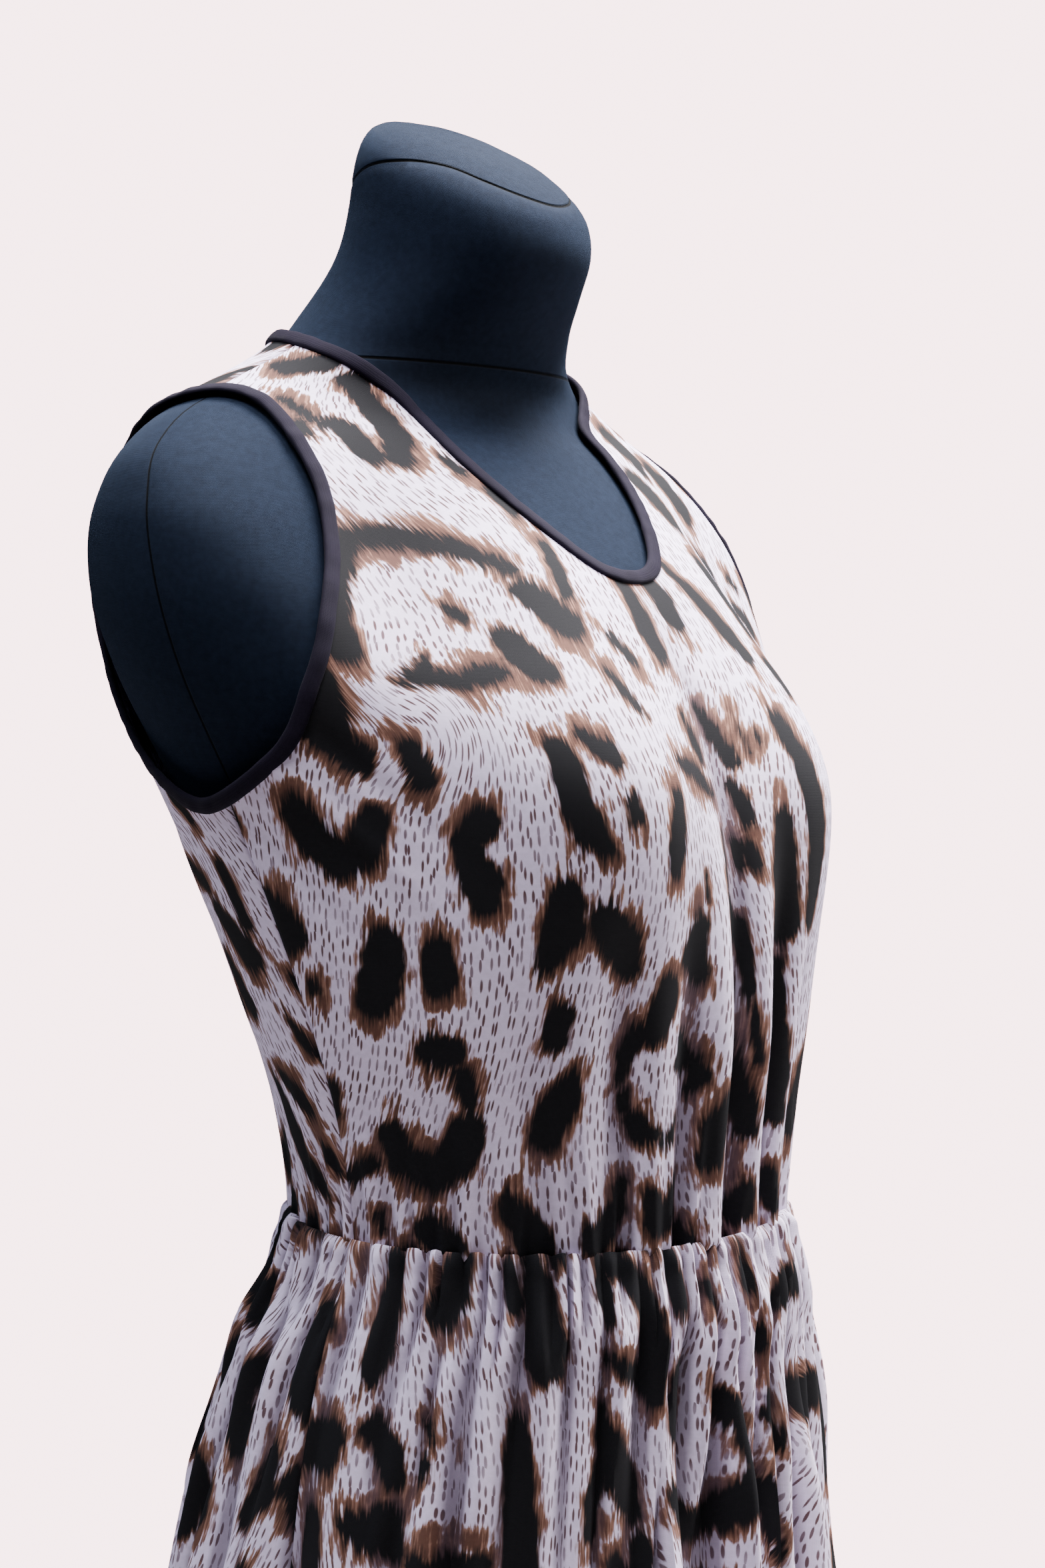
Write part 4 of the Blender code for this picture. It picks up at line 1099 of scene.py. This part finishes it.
skirt = {
    "length": 0.58,
    "columns": 268,
    "rows": 144,
    "thickness": 0.0009,
    "printWidth": (1.10, 1.62),  # both panels on the print, at the waist and at the hem
    "backShift": (0.11, 0.27),  # where the back is laid on it
    "cut": (0.62, 0.865, 0.59),  # a panel laid flat: its gathered edge, its hem, its length
    "hemTurn": 0.020,
    # the hem's fold: how far in, how far up, and how much further down the cloth
    "hemFold": (
        (0.0007, -0.0009, 0.001), (0.0014, 0.0004, 0.002), (0.0014, 0.006, 0.008),
        (0.0014, 0.013, 0.015), (0.0014, 0.020, 0.022),
    ),
    "topDown": 1.5,  # how much the rows crowd towards the waist
    "sections": (  # height, half width, front, behind, centre, slope
        (-0.580, 0.248, 0.206, 0.212, 0.017, 0.00),
        (-0.440, 0.226, 0.183, 0.189, 0.017, 0.00),
        (-0.300, 0.203, 0.160, 0.166, 0.016, 0.00),
        (-0.184, 0.183, 0.140, 0.146, 0.014, 0.01),
        (-0.144, 0.176, 0.135, 0.140, 0.011, 0.02),
        (-0.104, 0.170, 0.130, 0.134, 0.007, 0.03),
        (-0.064, 0.162, 0.125, 0.128, 0.003, 0.04),
        (-0.023, 0.148, 0.123, 0.117, -0.001, 0.05),
        (-0.008, 0.143, 0.118, 0.109, -0.001, 0.05),
        (0.000, 0.1382, 0.1132, 0.1032, -0.001, 0.05),
    ),
    "folds": (  # turn, spread, depth, lean
        (-168.0, 9.0, 0.022, 5.0), (-140.0, 8.0, 0.026, -3.0), (-116.0, 9.0, 0.020, 4.0),
        (-74.0, 9.0, 0.022, -6.0), (-49.0, 7.5, 0.026, -4.0), (-24.0, 8.5, 0.021, 3.0),
        (-1.0, 7.5, 0.024, 2.0), (22.0, 8.0, 0.022, -2.0), (47.0, 8.5, 0.026, 4.0),
        (73.0, 8.5, 0.021, 5.0), (113.0, 9.0, 0.023, -4.0), (139.0, 8.5, 0.020, 3.0),
        (165.0, 8.0, 0.025, -4.0),
    ),
    "foldGrowth": 1.3,
    "foldValley": 0.008,
    "gathers": (  # the fold families, fine to broad; crisp is how sharp their valleys are
        {
            "count": 90, "seed": 3, "depth": 0.0076, "crisp": 1.0, "hides": 0.30,
            "from": (-0.006, 0.001), "to": (0.030, 0.090), "drift": 9,
        },
        {
            "count": 47, "seed": 8, "depth": 0.0145, "crisp": 0.8, "hides": 0.25,
            "from": (0.006, 0.040), "to": (0.130, 0.340), "drift": 14,
        },
        {
            "count": 29, "seed": 21, "depth": 0.0200, "crisp": 0.5, "hides": 0.20,
            "from": (0.030, 0.110), "to": (0.700, 1.500), "drift": 14,
        },
    ),
    # the folds lean back at the hips: turn, spread, degrees, how soon
    "hipPull": (112, 28, 12, 0.15),
    "roll": (0.0030, 0.002, 0.006),  # how far the gathered edge stands out, where, how tall
    "edgeRise": (0.0016, 0.4, 0.004),  # up, its share of the finest folds, and how tall
    "tuck": (0.0045, -0.0015, 0.003),  # how its cut edge lies: in, up, and back along the cloth
    "seamDip": (0.0010, 0.0025, 0.4, 0.18),  # deep, wide, half a panel's width, the skirt's radius
    # for the painted shade in the folds: columns to each side, and the depth that counts as full
    "furrow": ((3, 7), 0.0026),
}


def gatherFolds(turn, down, families=slice(None)):
    # rounded pleats with sharp valleys, which drift sideways and die out each at its own depth, and
    # how far the cloth has slipped sideways into them
    total, slip = np.zeros(turn.shape), np.zeros(turn.shape)
    hip, spread, most, settled = skirt["hipPull"]
    for family in skirt["gathers"][families]:
        rng = np.random.default_rng(family["seed"])
        count = family["count"]
        centres = (np.arange(count) + rng.uniform(-0.40, 0.40, count)) * 360 / count - 180
        strength, drift = rng.uniform(0.25, 1.25, count), rng.normal(0, family["drift"], count)
        left, right = wrapTurn(centres - hip), wrapTurn(centres + hip)
        pull = most * (bell(left, spread) - bell(right, spread))
        start = rng.uniform(0, 1, count) * (family["from"][1] - family["from"][0]) * 0.8
        stop = rng.uniform(*family["to"], count)
        order = np.arange(-count, 2 * count)
        for row in range(len(turn)):
            level = down[row, 0]
            moved = centres + drift * level + pull * (1 - math.exp(-level / settled))
            places = np.concatenate([moved + lap for lap in (-360, 0, 360)])
            phase = np.interp(turn[row], np.maximum.accumulate(places), order)
            own = [np.interp(phase, order, np.tile(each, 3)) for each in (strength, start, stop)]
            reach = fade(level - own[1], *family["from"]) * fade(level, own[2], own[2] * 0.35)
            crest = np.abs(np.cos(np.pi * phase))
            shape = family["crisp"] * crest + (1 - family["crisp"]) * crest**2 - 0.5
            total[row] += family["depth"] * own[0] * reach * shape
            slip[row] -= family["hides"] / count * own[0] * reach * (phase - np.round(phase))
    return total, slip


def skirtPoint(turn, down):
    point = ringPoint(skirt["sections"], turn, -down)
    drop = np.clip(down / skirt["length"], 0, 1)
    rise = np.full(np.broadcast(turn, down).shape, -skirt["foldValley"])
    for centre, spread, depth, lean in skirt["folds"]:
        rise += depth * bell(wrapTurn(turn - centre - lean * (drop - 1)), spread)
    rise *= drop ** skirt["foldGrowth"]
    rise = rise + gatherFolds(turn, down)[0]
    point[..., 0] += rise * np.sin(np.radians(turn))
    point[..., 1] -= rise * np.cos(np.radians(turn))
    return point


def makeSkirt(name, node, middle, material):
    across = np.linspace(-1, 1, skirt["columns"] + 1)
    steps = np.linspace(0, 1, skirt["rows"] + 1) ** skirt["topDown"]
    down = steps * skirt["length"]
    turn, down = np.meshgrid(middle + 90 * across, down)
    points = skirtPoint(turn, down)
    # the gathered edge rolls over the seam, and the hem is turned up inside
    angle = np.radians(turn)
    radial = np.stack([np.sin(angle), -np.cos(angle), np.zeros_like(turn)], axis=-1)
    out, place, tall = skirt["roll"]
    points += radial * (out * bell(down - place, tall))[..., None]
    up, share, tall = skirt["edgeRise"]
    finest = gatherFolds(turn, down, slice(1))[0]
    points[..., 2] += (up + share * finest) * bell(down, tall)
    inward, up, back = skirt["tuck"]
    tuck = points[:1] - radial[:1] * inward + (0, 0, up)
    fold, turnedUp = [], []
    for inside, rise, further in skirt["hemFold"]:
        fold.append(points[-1:] - radial[-1:] * inside + (0, 0, rise))
        turnedUp.append(down[-1:] + further)
    points = np.concatenate([tuck, points, *fold])
    down = np.concatenate([down[:1] - back, down, *turnedUp])
    turn = np.concatenate([turn[:1], turn] + [turn[:1]] * len(fold))
    waist, hem = skirt["printWidth"]
    width = waist + (hem - waist) * down / skirt["length"]
    slip = gatherFolds(turn, np.maximum(down, 0))[1]
    uv = np.stack([wrapTurn(turn - middle) / 360 * width + slip, -down], axis=-1)
    if middle:
        uv += skirt["backShift"]
    points, uv = points[::-1], uv[::-1]
    # the side seams pull the cloth in a little
    deep, wide, half, radius = skirt["seamDip"]
    dip = deep * bell((1 - np.abs(across)) * half, wide)
    points[..., :2] *= 1 - dip[None, :, None] / radius
    mesh = gridMesh(points, uv, printFields(uv, furrow(points, *skirt["furrow"])))
    return finish(name, node, mesh, material, thickness=skirt["thickness"])


stand = {
    "plateRadius": 0.19,
    "plateThickness": 0.006,
    "plateRound": 0.0015,
    "poleRadius": 0.014,
    # height, radius
    "collar": ((0.0, 0.032), (0.004, 0.032), (0.008, 0.026), (0.039, 0.026), (0.045, 0.019)),
    "socket": (
        (0.0, 0.0185), (0.0015, 0.020), (0.0225, 0.020), (0.024, 0.0535), (0.0255, 0.055),
        (0.030, 0.055),
    ),
    "gap": 0.0003,
    "segments": 96,
}


def turnedPiece(name, node, outline, material):
    # a profile of radius and height, spun once round the pole's axis
    mesh = bmesh.new()
    verts = [mesh.verts.new((radius, 0, height)) for radius, height in outline]
    edges = [mesh.edges.new(pair) for pair in zip(verts, verts[1:])]
    bmesh.ops.spin(
        mesh, geom=verts + edges, cent=(0, 0, 0), axis=(0, 0, 1), angle=2 * math.pi,
        steps=stand["segments"], use_merge=True,
    )
    closeRound(mesh)
    finish(name, node, mesh, material, 35)


def rounded(radius, low, high, edge):
    # a solid bar's half outline with small rounded edges
    angles = np.radians((0, 30, 60, 90))
    bends = [(edge * (1 - math.sin(a)), edge * (1 - math.cos(a))) for a in angles]
    bottom = [(radius - inset, low + up) for inset, up in bends]
    top = [(radius - inset, high - up) for inset, up in reversed(bends)]
    return [(0, low)] + bottom + top + [(0, high)]


def sleeveOutline(profile, low, bore):
    outline = [(radius, low + up) for up, radius in profile]
    return [(bore, low)] + outline + [(bore, low + profile[-1][0]), (bore, low)]


def makeStand(blackSteel, polishedSteel):
    edge = stand["plateRound"]
    foot = stand["plateThickness"] + stand["gap"]
    bore = stand["poleRadius"] + stand["gap"]
    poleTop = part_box("stand_pole")[1].z
    plate = rounded(stand["plateRadius"], 0, stand["plateThickness"], edge)
    turnedPiece("basePlate", "stand_base", plate, blackSteel)
    pole = rounded(stand["poleRadius"], foot, poleTop, edge)
    turnedPiece("pole", "stand_pole", pole, polishedSteel)
    collar = sleeveOutline(stand["collar"], foot, bore)
    turnedPiece("poleCollar", "stand_collar", collar, blackSteel)
    socket = sleeveOutline(stand["socket"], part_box("form_socket")[0].z, bore)
    turnedPiece("formSocket", "form_socket", socket, blackSteel)


studio = {
    "target": (0.008, 0.014, 1.249),
    "azimuth": -52.0,
    "elevation": 2.0,
    "distance": 1.6,
    "lens": 73.1,
    "sensor": 36,
    "lampsTarget": (0, 0.02, 1.3),
    "lamps": (  # name, azimuth, elevation, distance, size, power, colour
        ("keyLight", 78, 70, 2.0, (1.1, 1.1), 430, (1.0, 0.975, 0.975)),
        ("frontLight", -58, 70, 2.0, (0.9, 0.9), 92, (0.95, 0.94, 1.0)),
        ("sideLight", 52, 16, 1.9, (0.5, 0.9), 50, (1.0, 0.96, 0.98)),
        ("rimLight", -143, 48, 2.2, (1.2, 1.4), 30, (0.75, 0.84, 1.0)),
    ),
    "floorRadius": 1.6,
    "floorDrop": -0.0005,
    "floor": (0.52, 0.49, 0.49, 1),
    "background": (1.0, 0.692, 0.731, 1),
    "backgroundStrength": 6.5,
    "worldLight": (0.93, 0.90, 1.0, 1),
    "worldStrength": 0.04,
}


def lookAt(thing, target, azimuth, elevation, distance):
    # stands it off the target on that side, looking at it
    azimuth, elevation = math.radians(azimuth), math.radians(elevation)
    away = Vector((
        math.sin(azimuth) * math.cos(elevation),
        -math.cos(azimuth) * math.cos(elevation),
        math.sin(elevation),
    ))
    thing.location = Vector(target) + distance * away
    thing.rotation_euler = (-away).to_track_quat("-Z", "Y").to_euler()
    bpy.context.scene.collection.objects.link(thing)


def makeCamera():
    camera = bpy.data.objects.new("camera", bpy.data.cameras.new("camera"))
    camera.data.lens = studio["lens"]
    camera.data.sensor_width = studio["sensor"]
    lookAt(camera, studio["target"], studio["azimuth"], studio["elevation"], studio["distance"])
    bpy.context.scene.camera = camera


def makeLamp(name, azimuth, elevation, distance, size, power, colour):
    lamp = bpy.data.lights.new(name, "AREA")
    lamp.shape = "RECTANGLE"
    lamp.size, lamp.size_y = size
    lamp.energy = power
    lamp.color = colour
    light = bpy.data.objects.new(name, lamp)
    lookAt(light, studio["lampsTarget"], azimuth, elevation, distance)


def makeStudio():
    mesh = bmesh.new()
    bmesh.ops.create_circle(mesh, cap_ends=True, radius=studio["floorRadius"], segments=96)
    data = bpy.data.meshes.new("floor")
    mesh.to_mesh(data)
    mesh.free()
    material, _, shader = newMaterial("floor", 0.9)
    shader.inputs["Base Color"].default_value = studio["floor"]
    data.materials.append(material)
    floor = bpy.data.objects.new("floor", data)
    floor.location.z = studio["floorDrop"]
    bpy.context.scene.collection.objects.link(floor)

    world = bpy.data.worlds.new("studio")
    bpy.context.scene.world = world
    world.use_nodes = True
    tree = world.node_tree
    seen = tree.nodes["Background"]
    seen.inputs["Color"].default_value = studio["background"]
    seen.inputs["Strength"].default_value = studio["backgroundStrength"]
    light = tree.nodes.new("ShaderNodeBackground")
    light.inputs["Color"].default_value = studio["worldLight"]
    light.inputs["Strength"].default_value = studio["worldStrength"]
    path = tree.nodes.new("ShaderNodeLightPath")
    mix = tree.nodes.new("ShaderNodeMixShader")
    tree.links.new(path.outputs["Is Camera Ray"], mix.inputs[0])
    tree.links.new(light.outputs[0], mix.inputs[1])
    tree.links.new(seen.outputs[0], mix.inputs[2])
    tree.links.new(mix.outputs[0], tree.nodes["World Output"].inputs[0])

    for lamp in studio["lamps"]:
        makeLamp(*lamp)


makeCamera()
makeStudio()
print("camera, floor and light are set")

fillMarks()
print("print laid out with", len(printChart["allMarks"]), "marks")

jersey = printedJersey()
trim = plainJersey("bindingJersey", bindingLook)
cover = plainJersey("formJersey", formLook)
makeTorso(cover)
makeNeckCap(cover)
makeStand(steel("blackSteel"), steel("polishedSteel"))
print("form and stand are made")

bodiceFront = makeBodice("bodiceFront", "bodice_front", 0, jersey)
bodiceBack = makeBodice("bodiceBack", "bodice_back", 180, jersey)
neckTurn = np.linspace(-180, 180, 1200, endpoint=False)
neckBinding = makeBinding("neckBinding", "neck_binding", neckTurn, neckHeight(neckTurn), trim, 2)
holeTurn, holeHeight = armholeLine(900)
leftBinding = makeBinding(
    "armholeBindingLeft", "armhole_binding_left",
    leftArmhole(holeTurn, holeHeight), holeHeight, trim, 4,
)
rightBinding = makeBinding(
    "armholeBindingRight", "armhole_binding_right", -holeTurn[::-1], holeHeight[::-1], trim, 6,
)
print("bodice is made")

skirtFront = makeSkirt("skirtFront", "skirt_front", 0, jersey)
skirtBack = makeSkirt("skirtBack", "skirt_back", 180, jersey)
print("skirt is made")
